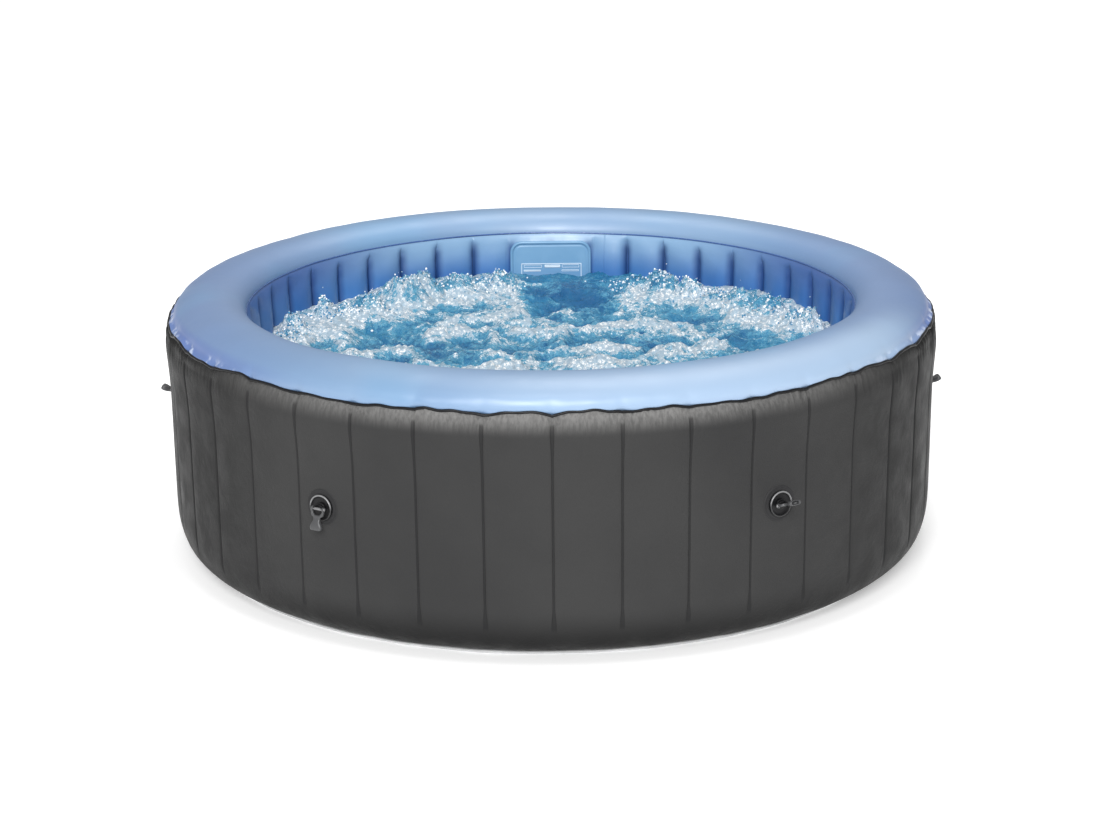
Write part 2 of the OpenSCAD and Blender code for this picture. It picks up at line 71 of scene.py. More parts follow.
PANEL_LO, PANEL_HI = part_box("service_panel")
PANEL_MID = (PANEL_LO + PANEL_HI) / 2


def smooth(x, low, high):
    """0 below low, 1 above high, with a soft step between."""
    t = np.clip((x - low) / (high - low), 0, 1)
    return t * t * (3 - 2 * t)


def around(az, r, z):
    """Points at angle az from the front, radius r and height z."""
    return np.stack(np.broadcast_arrays(r * np.sin(az), -r * np.cos(az), z), -1)


def azimuth(x, y):
    """The angle of a place from the front."""
    return np.arctan2(x, -y)


def angle_from(az, mark):
    """How far az is from mark, within half a turn either way."""
    return np.angle(np.exp(1j * (az - mark)))


def even_angles(count):
    return np.arange(count) * 2 * np.pi / count


# ---- mesh helpers ----

def finish_mesh(name, vertices, faces, slot, look=None, body=TUB):
    """A smooth-shaded piece that rides a body; look is its material where that isn't the slot's own.

    faces is one array of equal polygons or a list of mixed ones."""
    mesh = bpy.data.meshes.new(name)
    vertices = np.reshape(vertices, (-1, 3))
    if isinstance(faces, np.ndarray):
        sides = faces.shape[1]
        mesh.vertices.add(len(vertices))
        mesh.vertices.foreach_set("co", vertices.astype(np.float32).ravel())
        mesh.loops.add(faces.size)
        mesh.loops.foreach_set("vertex_index", faces.astype(np.int32).ravel())
        mesh.polygons.add(len(faces))
        mesh.polygons.foreach_set("loop_start", np.arange(0, faces.size, sides, dtype=np.int32))
        mesh.update(calc_edges=True)
    else:
        mesh.from_pydata([tuple(v) for v in vertices], [], faces)
    mesh.polygons.foreach_set("use_smooth", np.ones(len(mesh.polygons), bool))
    mesh.validate()
    obj = bpy.data.objects.new(name, mesh)
    bpy.context.scene.collection.objects.link(obj)
    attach(obj, body)
    mesh.materials.append(MATERIALS[look or slot])
    return obj


def quads(nu, nv, wrap_u=True, wrap_v=False, first=0):
    """Quads over a grid of nu by nv points, numbered from first."""
    i = np.arange(nu if wrap_u else nu - 1)[:, None]
    j = np.arange(nv if wrap_v else nv - 1)[None, :]
    i2, j2 = (i + 1) % nu, (j + 1) % nv
    corners = [i * nv + j, i2 * nv + j, i2 * nv + j2, i * nv + j2]
    return first + np.stack(np.broadcast_arrays(*corners), -1).reshape(-1, 4)


class Shape:
    """Gathers grids and caps into one mesh."""

    def __init__(self):
        self.points, self.faces, self.count = [], [], 0

    def grid(self, p, wrap_u=True, wrap_v=False, cap_start=False, cap_end=False):
        nu, nv = p.shape[:2]
        self.points.append(p.reshape(-1, 3))
        self.faces += quads(nu, nv, wrap_u, wrap_v, self.count).tolist()
        if cap_start:
            self.faces.append([self.count + i * nv for i in range(nu)][::-1])
        if cap_end:
            self.faces.append([self.count + i * nv + nv - 1 for i in range(nu)])
        self.count += nu * nv
        return self

    def piece(self, name, slot, look=None, body=TUB, where=((0, 0, 0), np.eye(3))):
        """Ends the mesh as a piece. where is the origin and the three axes of the shape's own frame."""
        origin, axes = where
        points = np.asarray(origin) + np.concatenate(self.points) @ np.asarray(axes)
        return finish_mesh(name, points, self.faces, slot, look, body)


def lathe(profile, sides=48):
    """A surface turned about local Z from (radius, height) pairs."""
    a = even_angles(sides)[:, None]
    r, z = np.array(profile).T
    return np.stack(np.broadcast_arrays(r * np.cos(a), r * np.sin(a), z), -1)


def loft(outline, levels):
    """Rings of one outline: levels are (outline's arguments, height) pairs along local Z."""
    rings = [(outline(*args), z) for args, z in levels]
    return np.stack([np.column_stack([ring, np.full(len(ring), z)]) for ring, z in rings], 1)


def rounded_rect(w, d, corner, per_corner=10):
    """Points round a rectangle w by d with rounded corners."""
    corner = max(min(corner, w / 2 - 1e-6, d / 2 - 1e-6), 1e-5)
    t = np.linspace(0, np.pi / 2, per_corner)
    out = []
    for q, (sx, sy) in enumerate(((1, 1), (-1, 1), (-1, -1), (1, -1))):
        a = t + q * np.pi / 2
        out.append(np.column_stack([
            sx * (w / 2 - corner) + corner * np.cos(a), sy * (d / 2 - corner) + corner * np.sin(a)]))
    return np.concatenate(out)


def spline(points, steps):
    """A smooth curve through the points, with steps[i] stretches in span i."""
    p = np.array(points, float)
    p = np.vstack([2 * p[0] - p[1], p, 2 * p[-1] - p[-2]])
    out = []
    for k, n in enumerate(steps):
        a, b, c, d = p[k:k + 4]
        t = np.linspace(0, 1, n, endpoint=False)[:, None]
        out.append(0.5 * (2 * b + (c - a) * t + (2 * a - 5 * b + 4 * c - d) * t ** 2
                          + (3 * b - a - 3 * c + d) * t ** 3))
    out.append(p[-2:-1])
    return np.concatenate(out)


def outline_curve(outline, radius):
    """A smooth (radius, height) curve. outline's rows are offset from radius and height in mm, and steps."""
    return spline([(radius + a * MM, z * MM) for a, z, _ in outline], [n for _, _, n in outline[:-1]])


def normals_2d(profile):
    """Unit normals of a (radius, height) profile, to the right of its direction."""
    d = np.gradient(profile, axis=0)
    n = np.column_stack([d[:, 1], -d[:, 0]])
    return n / np.linalg.norm(n, axis=1, keepdims=True)


def columns(count, per_cell, pull):
    """Columns of angles, closer together near each cell's ends, and of each one's place in its cell."""
    u = np.arange(per_cell) / per_cell
    t = u - pull * np.sin(2 * np.pi * u) / (2 * np.pi)
    az = (np.arange(count)[:, None] + t) * 2 * np.pi / count
    return az.reshape(-1, 1), np.tile(t, count)[:, None]


def wander(az, low, high, seed, fall=0.5):
    """A smooth value round the tub, within about -1 to 1, with low to high waves a turn."""
    rng = np.random.default_rng(seed)
    k = np.arange(low, high + 1)
    amp = k ** -fall * rng.uniform(0.5, 1, k.size)
    phase = rng.uniform(0, 2 * np.pi, k.size)
    total = (amp * np.cos(np.multiply.outer(az, k) + phase)).sum(-1)
    return total / (1.6 * math.sqrt((amp ** 2).sum() / 2))


# ---- materials ----

MATERIALS = {}  # every material by its name; a CAD node's slot is the name of its material


class Value:
    """An output in a node tree. Arithmetic on it adds math nodes."""

    def __init__(self, shade, socket):
        self.shade, self.socket = shade, socket

    def __add__(self, other):
        return self.shade.math("ADD", self, other)

    def __sub__(self, other):
        return self.shade.math("SUBTRACT", self, other)

    def __mul__(self, other):
        return self.shade.math("MULTIPLY", self, other)

    def __abs__(self):
        return self.shade.math("ABSOLUTE", self)


class Shade:
    """A Principled material with short names for the nodes it is built from."""

    def __init__(self, name, **values):
        MATERIALS[name] = bpy.data.materials.new(name)
        MATERIALS[name].use_nodes = True
        self.tree = MATERIALS[name].node_tree
        self.tree.nodes.clear()
        self.bsdf = self.tree.nodes.new("ShaderNodeBsdfPrincipled")
        out = self.tree.nodes.new("ShaderNodeOutputMaterial")
        self.tree.links.new(self.bsdf.outputs["BSDF"], out.inputs["Surface"])
        self.place = self.node("TexCoord", {}, "Object")
        self.relief = {}
        for key, value in values.items():
            self.set(key.replace("_", " "), value)

    def put(self, socket, value):
        if isinstance(value, Value):
            self.tree.links.new(value.socket, socket)
        else:
            socket.default_value = (*value, 1) if socket.type == "RGBA" else value

    def set(self, name, value):
        self.put(self.bsdf.inputs[name], value)

    def color(self, value):
        self.set("Base Color", value)

    def node(self, kind, inputs, output=0, **settings):
        """Adds a node, fills its inputs and gives one of its outputs."""
        node = self.tree.nodes.new("ShaderNode" + kind)
        for key, value in settings.items():
            setattr(node, key, value)
        for key, value in inputs.items():
            self.put(node.inputs[key], value)
        return Value(self, node.outputs[output])

    def math(self, op, a, b=0.0):
        return self.node("Math", {0: a, 1: b}, operation=op)

    def split(self):
        """The place on the object in metres, as x, y and z."""
        return [self.node("SeparateXYZ", {0: self.place}, axis) for axis in range(3)]

    def scaled(self, scale):
        return self.node("VectorMath", {0: self.place, 1: scale}, operation="MULTIPLY")

    def noise(self, scale, detail=3.0, rough=0.5, distortion=0.0, vector=None):
        return self.node("TexNoise", {
            "Vector": vector or self.place, "Scale": scale, "Detail": detail, "Roughness": rough,
            "Distortion": distortion})

    def cells(self, scale, vector=None):
        return self.node("TexVoronoi", {"Vector": vector or self.place, "Scale": scale}, "Distance")

    def remap(self, value, low, high, to_low=0.0, to_high=1.0):
        """A soft step from to_low to to_high, while value goes from low to high."""
        inputs = dict(enumerate((value, low, high, to_low, to_high)))
        return self.node("MapRange", inputs, interpolation_type="SMOOTHSTEP")

    def mix(self, factor, a, b):
        """From colour a to colour b."""
        return self.node("Mix", {0: factor, 6: a, 7: b}, 2, data_type="RGBA")

    def clouds(self, scale, a, b, detail=3.0, rough=0.5, spread=0.15):
        """Colour a and colour b in soft clouds."""
        return self.mix(self.remap(self.noise(scale, detail, rough), 0.5 - spread, 0.5 + spread), a, b)

    def gloss(self, scale, low, high, detail=3.0):
        """Roughness that wanders from low to high."""
        self.set("Roughness", self.remap(self.noise(scale, detail), 0.3, 0.7, low, high))

    def bump(self, height, distance):
        """Adds one layer of relief, distance metres deep at full height."""
        inputs = {"Strength": 1.0, "Distance": distance, "Height": height, **self.relief}
        self.relief = {"Normal": self.node("Bump", inputs)}
        self.set("Normal", self.relief["Normal"])

    def turn(self):
        """The angle from the front in radians, and the radius."""
        x, y, _ = self.split()
        return self.math("ARCTAN2", x, y * -1.0), self.math("SQRT", x * x + y * y)

    def off_line(self, angle, count, shift=0.0):
        """Distance round the tub, in metres, from the nearest of count even lines."""
        turns = angle * (count / (2 * math.pi)) + (0.5 + shift)
        part = self.math("FRACT", turns + 1000.0) - 0.5
        return abs(part) * (2 * math.pi * R / count)


def wall_pvc():
    """Matte charcoal laminate: fine grain, darker welded strips, a painted highlight on the gathered band under
    the welt, painted shade towards the foot and at the sides.
    """
    s = Shade("wall_pvc", Specular_IOR_Level=0.10)
    angle, _ = s.turn()
    x, _, z = s.split()
    half_width = s.remap(z, 0.16, 0.095, 0.0022, 0.0062) + s.remap(z, 0.52, 0.61, 0.0, 0.0026)
    welded = s.remap(z, 0.086, 0.1) * s.remap(z, 0.622, 0.612)
    strip = s.remap(s.off_line(angle, WELDS) - half_width, 0.0011, -0.0006) * welded
    streak = s.noise(1.0, 4.0, 0.6, vector=s.scaled((150.0, 150.0, 6.0)))
    base = s.clouds(2.3, (0.0345, 0.0345, 0.035), (0.043, 0.043, 0.043), spread=0.2)
    # painted shade: darker towards the foot of the wall
    base = s.mix(s.remap(z, 0.15, 0.03, 0.0, 0.88), base, (0.006, 0.006, 0.006))
    # painted highlight: a paler band under the welt, streaked along the gathers and strongest at the front
    collar_highlight = s.remap(z, 0.585, 0.645) * s.remap(streak, 0.33, 0.66, 0.62, 1.0)
    base = s.mix(collar_highlight * s.remap(abs(x), 0.95, 0.25, 0.30, 1.0), base, (0.205, 0.202, 0.198))
    # painted shade: darker towards the two sides
    base = s.mix(s.remap(abs(x), 0.60, 1.02), base, (0.015, 0.015, 0.015))
    base = s.mix(strip * 0.5, base, (0.013, 0.013, 0.014))
    speck = s.remap(s.cells(55.0), 0.045, 0.02, 0.0, 0.35)
    s.color(s.mix(speck, base, (0.09, 0.09, 0.09)))
    s.gloss(14.0, 0.44, 0.58)
    s.bump(s.noise(1.0, 2.0, 0.6, vector=s.scaled((420.0, 420.0, 260.0))), 0.0006)
    s.bump(s.cells(500.0), 0.0003)
    s.bump(s.noise(26.0, 3.0, 0.6, 1.2), 0.0016)
    s.bump(streak * s.remap(z, 0.59, 0.635), 0.0016)
    s.bump(strip * -1.0, 0.0009)


def ring_pvc():
    """Satin light blue sheet: cloudy, with painted shade that makes it darker and bluer at the sides and low by
    the welt, a painted highlight at the right front and painted glints along the welt at the sides.
    """
    s = Shade("ring_pvc", Specular_IOR_Level=1.0)
    x, _, z = s.split()
    angle, radius = s.turn()
    base = s.clouds(1.7, (0.165, 0.285, 0.470), (0.200, 0.320, 0.490), 2.0, 0.4)
    # painted shade: darker and bluer towards the sides
    base = s.mix(s.remap(abs(x), 0.45, 1.0) * 0.75, base, (0.135, 0.205, 0.390))
    base = s.mix(s.remap(s.noise(3.1, 2.0, 0.4), 0.45, 0.7, 0.0, 0.5), base, (0.155, 0.325, 0.530))
    # painted shade: deep violet-blue on the outer lower flank at the sides
    outer = s.remap(radius, R - 0.034, R - 0.012) * s.remap(abs(x), 0.6, 0.95)
    base = s.mix(outer * 0.55, base, (0.075, 0.130, 0.420))
    # painted highlight: a paler patch on the outer face at the right front
    front_highlight = s.remap(abs(angle + -0.75), 1.25, 0.15) * s.remap(angle, 1.40, 0.95)
    base = s.mix(front_highlight * s.remap(radius, APEX_R - 0.02, R - 0.045), base, (0.335, 0.460, 0.630))
    # painted glints: near-white specks just above the welt at the sides
    edge_glints = s.remap(z, WELT_Z + 0.016, WELT_Z + 0.004) * s.remap(s.noise(30.0, 4.0), 0.5, 0.62)
    base = s.mix(edge_glints * s.remap(abs(x), 0.7, 0.95, 0.0, 0.8), base, (0.62, 0.70, 0.85))
    # painted shade: darker low on the outer face, towards the welt
    s.color(s.mix(s.remap(z, SEAM_Z, SEAM_Z - 0.03, 0.0, 0.35), base, (0.11, 0.22, 0.47)))
    s.gloss(9.0, 0.41, 0.50)
    s.bump(s.noise(520.0, 2.0), 0.00010)
    s.bump(s.noise(7.0, 2.0), 0.0022)


def liner_pvc():
    """Inner wall: light blue at the seam and deeper blue towards the water; painted shade makes it deeper blue at
    the sides and darkest in the creases.
    """
    s = Shade("liner_pvc", Specular_IOR_Level=0.5, Coat_Weight=0.1, Coat_Roughness=0.25)
    angle, _ = s.turn()
    x, _, z = s.split()
    # painted shade: the upper band turns deeper blue towards the sides
    high = s.mix(s.remap(abs(x), 0.35, 0.75), (0.225, 0.375, 0.560), (0.062, 0.130, 0.345))
    low = s.clouds(6.0, (0.034, 0.135, 0.380), (0.050, 0.170, 0.430), 2.0)
    base = s.mix(s.remap(z, 0.65, 0.54), high, low)
    # painted shade: dark blue in and beside each crease, fading out near the seam and at the floor
    crease = s.remap(s.off_line(angle, CREASES, shift=0.5), 0.030, 0.0)
    shade = crease * s.remap(z, 0.656, 0.612, 0.0, 0.74) * s.remap(z, 0.05, 0.12)
    s.color(s.mix(shade, base, (0.008, 0.035, 0.160)))
    s.gloss(11.0, 0.28, 0.42)
    s.bump(s.noise(520.0, 2.0), 0.00010)
    s.bump(s.noise(16.0, 2.0), 0.0018)


def panel_pvc():
    """Smooth light blue sheet of the panel, a little deeper towards the water."""
    s = Shade("panel_pvc", Specular_IOR_Level=0.5)
    _, _, z = s.split()
    cloud = s.clouds(9.0, (0.150, 0.315, 0.500), (0.185, 0.355, 0.540), spread=0.2)
    s.color(s.mix(s.remap(z, 0.60, 0.46, 0.0, 0.75), cloud, (0.055, 0.180, 0.400)))
    s.gloss(11.0, 0.30, 0.42)
    s.bump(s.noise(520.0, 2.0), 0.00010)
    s.bump(s.noise(18.0, 2.0), 0.0012)


def plastic(name, color, roughness=0.45, grain=700.0, depth=0.00012, level=0.45, blotch=0.04, **values):
    """Moulded plastic with a fine spark-eroded grain, faint mottling and uneven gloss."""
    s = Shade(name, Specular_IOR_Level=level, **values)
    dark, light = ([min(1, c * k) for c in color] for k in (1 - blotch, 1 + blotch))
    s.color(s.clouds(35.0, dark, light))
    s.gloss(60.0, roughness - 0.04, roughness + 0.04, 4.0)
    s.bump(s.noise(grain, 2.0, 0.6), depth)


def metal(name, color, roughness, streak):
    """Bare metal with brushed or rolled streaks."""
    s = Shade(name, Metallic=1.0)
    line = s.noise(1.0, 4.0, 0.6, vector=s.scaled(streak))
    s.color(s.mix(s.remap(line, 0.3, 0.7), [c * 0.82 for c in color], color))
    s.set("Roughness", s.remap(line, 0.3, 0.7, roughness - 0.08, roughness + 0.1))
    s.bump(line, 0.00006)


def mat_foam():
    """Silver-grey woven ground cloth."""
    s = Shade("mat_foam", Roughness=0.7, Specular_IOR_Level=0.3)
    x, y, _ = s.split()
    thread = 1800.0
    weave = s.math("SINE", x * thread) * s.math("SINE", y * thread)
    base = s.mix(s.remap(s.noise(5.0, 5.0, 0.6), 0.35, 0.7), (0.60, 0.605, 0.61), (0.80, 0.805, 0.81))
    s.color(s.mix(s.remap(weave, -1.0, 1.0, 0.0, 0.25), base, (0.85, 0.85, 0.86)))
    s.bump(weave, 0.0004)


def water_surface():
    """Churning water: deep blue in the hollows, turquoise on the slopes, laced and capped with foam."""
    s = Shade("water", IOR=1.33, Specular_IOR_Level=0.6)
    _, _, z = s.split()
    angle, radius = s.turn()
    flat = s.scaled((1.0, 1.0, 0.7))
    lace = s.noise(8.5, 8.0, 0.70, distortion=1.8, vector=flat)
    fine = s.noise(55.0, 6.0, 0.75, distortion=0.8, vector=flat)
    specks = s.noise(170.0, 4.0, 0.8)
    # how much foam: more on high places, towards the rim and at the front, less where the back lies calm
    amount = s.remap(z, WATER_Z - 0.012, WATER_Z + 0.028) * 0.8
    rim = s.remap(radius, 0.42, 0.76, 0.0, 0.08) + s.remap(abs(angle), 1.2, 0.6, 0.0, 0.30)
    back = s.math("MAXIMUM", s.remap(angle, 2.72, 2.92), s.remap(angle, -2.96, -3.06))
    calm = back * s.remap(radius, 0.38, 0.60) * -0.85
    amount = amount + (rim + calm) + s.remap(z, WATER_Z + 0.020, WATER_Z + 0.05, 0.0, -0.46)
    amount = amount + (lace - 0.5) * 2.6 + (fine - 0.5) * 1.7 + (specks - 0.5) * 1.3
    foam = s.remap(amount, 0.39, 0.56)
    deep = s.clouds(6.0, (0.009, 0.105, 0.265), (0.024, 0.190, 0.365), 3.0, 0.6)
    base = s.mix(s.remap(amount, -0.20, 0.42), deep, (0.100, 0.340, 0.500))
    bubbles = s.cells(210.0)
    dark = s.math("MAXIMUM", s.remap(s.cells(85.0, flat), 0.30, 0.60, 0.0, 0.7),
                  s.remap(bubbles, 0.40, 0.62, 0.0, 0.6))
    white = s.mix(dark, (0.98, 0.98, 0.98), (0.13, 0.30, 0.44))
    s.color(s.mix(foam, base, white))
    s.set("Roughness", s.remap(foam, 0.0, 1.0, 0.08, 0.45))
    s.bump(fine, 0.006)
    s.bump(s.noise(150.0, 4.0, 0.7), 0.0030)
    s.bump(bubbles * -1.0, 0.0022)


def spray_drops():
    """Spray and bubbles."""
    s = Shade("spray", Roughness=0.15, IOR=1.33)
    s.color(s.mix(s.remap(s.noise(70.0), 0.42, 0.55), (0.96, 0.97, 0.98), (0.06, 0.24, 0.42)))
    s.bump(s.noise(400.0, 2.0), 0.0005)


def filter_paper():
    """Pleated filter paper."""
    s = Shade("filter_paper", Roughness=0.85)
    fibre = s.noise(240.0, 5.0, 0.7)
    s.color(s.mix(s.remap(fibre, 0.3, 0.7), (0.74, 0.74, 0.70), (0.90, 0.90, 0.87)))
    s.bump(fibre, 0.0003)


def web_fabric():
    """Coated scrim of the inner straps."""
    s = Shade("web_fabric", Roughness=0.6)
    _, _, z = s.split()
    thread = s.math("SINE", z * 1600.0)
    s.color(s.mix(s.remap(thread, -1.0, 1.0), (0.55, 0.56, 0.56), (0.80, 0.80, 0.78)))
    s.bump(thread, 0.0003)


def board_green():
    """Solder mask with copper tracks under it."""
    s = Shade("board_green", Roughness=0.35)
    _, y, z = s.split()
    track = s.math("SINE", y * 900.0) * s.math("SINE", z * 500.0)
    s.color(s.mix(s.remap(track, 0.1, 0.3), (0.010, 0.105, 0.035), (0.030, 0.210, 0.080)))
    s.bump(track, 0.0001)


def display_glass():
    """Smoked window."""
    s = Shade("display_glass", Roughness=0.06, Coat_Weight=0.6, Coat_Roughness=0.05)
    s.color(s.clouds(18.0, (0.006, 0.010, 0.014), (0.014, 0.022, 0.030), 2.0, spread=0.2))


def highlit_rim():
    """Moulded rim of a buckle's base, shiny, with a painted highlight that makes its upper half pale."""
    s = Shade("buckle_rim", Roughness=0.3, Specular_IOR_Level=0.8)
    _, _, z = s.split()
    # painted highlight: pale along the rim's upper half, broken up by noise
    lit_upper_half = s.remap(z, 0.362, 0.378) * s.remap(s.noise(160.0), 0.3, 0.5, 0.7, 1.0)
    s.color(s.mix(lit_upper_half, (0.010, 0.010, 0.011), (0.22, 0.22, 0.225)))
    s.bump(s.noise(600.0, 2.0), 0.00003)


for make in (wall_pvc, ring_pvc, liner_pvc, panel_pvc, mat_foam, water_surface, spray_drops, filter_paper,
             web_fabric, board_green, display_glass, highlit_rim):
    make()
plastic("black_trim", (0.016, 0.016, 0.018), 0.3, 500.0)
plastic("welt_black", (0.007, 0.007, 0.008), 0.4, 500.0, level=0.25)
plastic("dark_plastic", (0.045, 0.046, 0.050), 0.45)
plastic("white_plastic", (0.74, 0.75, 0.75), 0.35)
plastic("unit_plastic", (0.115, 0.120, 0.130), 0.48, 520.0, 0.00025, blotch=0.02)
plastic("gloss_black", (0.010, 0.010, 0.012), 0.16, 900.0, 0.00002, Coat_Weight=0.5)
plastic("button_grey", (0.42, 0.43, 0.44), 0.5)
plastic("seal_rubber", (0.020, 0.020, 0.020), 0.7, 300.0, 0.0002)
plastic("seam_pvc", (0.050, 0.110, 0.300), 0.25, 500.0, 0.0001, level=0.8)
plastic("frame_white", (0.62, 0.72, 0.80), 0.4)
plastic("patch_pvc", (0.031, 0.031, 0.032), 0.55, 500.0, 0.0002, level=0.12)
plastic("buckle_black", (0.008, 0.008, 0.009), 0.4, 420.0, 0.00008, level=0.25)
plastic("buckle_gloss", (0.17, 0.17, 0.175), 0.28, 600.0, 0.00002, level=1.0, Coat_Weight=0.5,
        Coat_Roughness=0.2)
plastic("buckle_grey", (0.070, 0.071, 0.074), 0.34, 420.0, 0.00008)
metal("motor_steel", (0.52, 0.52, 0.53), 0.38, (30.0, 30.0, 900.0))
metal("heater_steel", (0.66, 0.66, 0.67), 0.25, (900.0, 30.0, 900.0))


def dress_cad_nodes():
    """Gives each CAD node that stays in view the material of its slot."""
    for row in frame["record"]["subparts"]:
        obj = frame["nodes"][row["node"]]
        if not obj.material_slots:
            obj.data.materials.append(None)
        for place in obj.material_slots:
            place.material = MATERIALS[row["material_slot"]]


# ---- the welt's path, shared by the wall, the welt and the top ring ----

# one value for each of the outer wall's cells
cell_rng = np.random.default_rng(11)
DIPS = WELT_Z - 0.007 + cell_rng.uniform(-0.0035, 0.0035, WELDS)
CRESTS = cell_rng.uniform(0.002, 0.011, WELDS)
SKEWS = cell_rng.uniform(0.75, 1.35, WELDS)
FLARES = cell_rng.uniform(0.1, 1.0, WELDS)


def cell_of(az):
    """The number of the cell at each angle, and the place in it from 0 to 1."""
    x = (az / WELD_STEP) % WELDS
    k = np.floor(x).astype(int) % WELDS
    return k, x - np.floor(x)


def welt_height(az):
    """The welt dips at each weld and rises in a soft, uneven arch between."""
    k, t = cell_of(az)
    near_next = smooth(t, 0, 1)
    dip = DIPS[k] * (1 - near_next) + DIPS[(k + 1) % WELDS] * near_next
    arch = np.sin(np.pi * t ** SKEWS[k]) ** 0.8
    return dip + CRESTS[k] * arch + 0.0016 * wander(az, 20, 110, 5, 0.0)


def flank(az):
    """1 at the two sides, where the flange stands out past the ring, and 0 at front and back."""
    return smooth(np.abs(np.sin(az)), 0.6, 0.97)


# ---- outer wall ----

# offset from the tub's radius and height in mm, and steps up to the next point
WALL_OUTLINE = [
    (-125, 10, 1), (-116, 10.4, 2), (-86, 16, 3), (-54, 33, 3), (-28, 60, 3), (-13, 98, 3), (-6, 150, 4),
    (-3, 265, 4), (-1, 390, 4), (1, 480, 5), (6, 550, 6), (8, 584, 8), (5, 612, 10), (-3, 636, 8),
    (-12, 651, 0),
]
COLLAR_Z = 0.592  # foot of the gathered band
FLANGE = 7 * MM  # how far the flange stands out at the two sides
# places where the wall stays round for a fitting, and each one's radius
SEATS = [(JOINTS["swivel_" + n]["pos_m"], 0.050) for n in BUCKLES]
SEATS += [(JOINTS["inflation_cap_turn"]["pos_m"], 0.030), (JOINTS["drain_cap_turn"]["pos_m"], 0.034)]


def outer_wall():
    """Cells between the welds, with gathers and slack under the welt."""
    az, t = columns(WELDS, 36, 0.42)
    line = outline_curve(WALL_OUTLINE, R)
    normal = normals_2d(line)
    r0, z0 = line.T[:, None]
    top = WALL_OUTLINE[-1][1] * MM
    off = np.minimum(t, 1 - t) * WELD_STEP * R
    welded = smooth(z0, 0.088, 0.13) * (1 - smooth(z0, 0.606, 0.628))
    width = 0.0034 + 0.004 * (1 - smooth(z0, 0.10, 0.17)) + 0.0022 * smooth(z0, 0.55, 0.6)
    round_cell = 1 - (2 * t - 1) ** 2
    swell = -0.0036 * (1 - round_cell ** 0.55) * smooth(z0, 0.05, 0.2) * (1 - 0.5 * smooth(z0, 0.59, 0.65))
    groove = -0.0019 * np.exp(-(off / width) ** 2) * welded
    # gathers under the welt
    phase = 330 * az + 2.6 * wander(az, 5, 70, 21)
    pleat = 0.6 * np.sin(phase) + 0.4 * np.sin(1.9 * phase + 1.3 * wander(az, 8, 60, 22))
    strength = (0.45 + 0.55 * wander(az, 12, 90, 23)).clip(0.05, 1.2)
    start = COLLAR_Z - 0.012 - 0.03 * wander(az, 20, 120, 24).clip(0, 1)
    gather = 0.0030 * pleat * strength * smooth(z0, start, start + 0.05)
    slack = 0.0016 * wander(az, 3, 40, 25) * smooth(z0, 0.12, 0.4)
    d = swell + groove + gather + slack + diagonal_creases(az, z0)
    r = r0 + d * normal[:, 0] + FLANGE * flank(az) * smooth(z0, 0.610, 0.640)
    z = z0 + d * normal[:, 1] + (welt_height(az) - top) * smooth(z0, COLLAR_Z, top)
    for (x, y, seat_z), radius in SEATS:
        distance = np.hypot(angle_from(az, azimuth(x, y)) * R, z - seat_z)
        seated = 1 - smooth(distance, radius, radius + 0.03)
        r = r * (1 - seated) + R * seated
    obj = finish_mesh("outer_wall_inflated", around(az, r, z), quads(len(az), len(line)), "wall_pvc")
    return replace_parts(obj, "outer_wall")


def diagonal_creases(az, z0):
    """Short slanting creases that run down from the welt beside each weld."""
    rng = np.random.default_rng(31)
    total = np.zeros((len(az), z0.shape[1]))
    for k in range(WELDS):
        for _ in range(rng.integers(1, 4)):
            side = rng.choice([-1, 1])
            x0, x1 = side * rng.uniform(0.004, 0.016), side * rng.uniform(0.016, 0.045)
            z_top, z_low = 0.648, rng.uniform(0.575, 0.625)
            depth = rng.uniform(0.0008, 0.0022)
            x = angle_from(az, k * WELD_STEP) * R
            along = ((z_top - z0) / (z_top - z_low)).clip(0, 1.2)
            off = x - (x0 + (x1 - x0) * along)
            total -= depth * np.exp(-(off / 0.0042) ** 2) * (1 - smooth(along, 0.55, 1.1))
    return total


# ---- welt and top ring ----

def welt():
    """Black piping along the scalloped edge."""
    az, _ = columns(WELDS, 30, 0.3)
    turn = even_angles(12)
    thick = 0.0040 + 0.0008 * wander(az, 40, 160, 41, 0.0)
    r = R - 0.0105 + FLANGE * flank(az) + thick * np.cos(turn)
    z = welt_height(az) - 0.0005 + 0.0037 * np.sin(turn)
    obj = finish_mesh("rim_welt_piping", around(az, r, z), quads(len(az), len(turn), wrap_v=True),
                      "black_trim", "welt_black")
    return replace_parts(obj, "rim_welt")


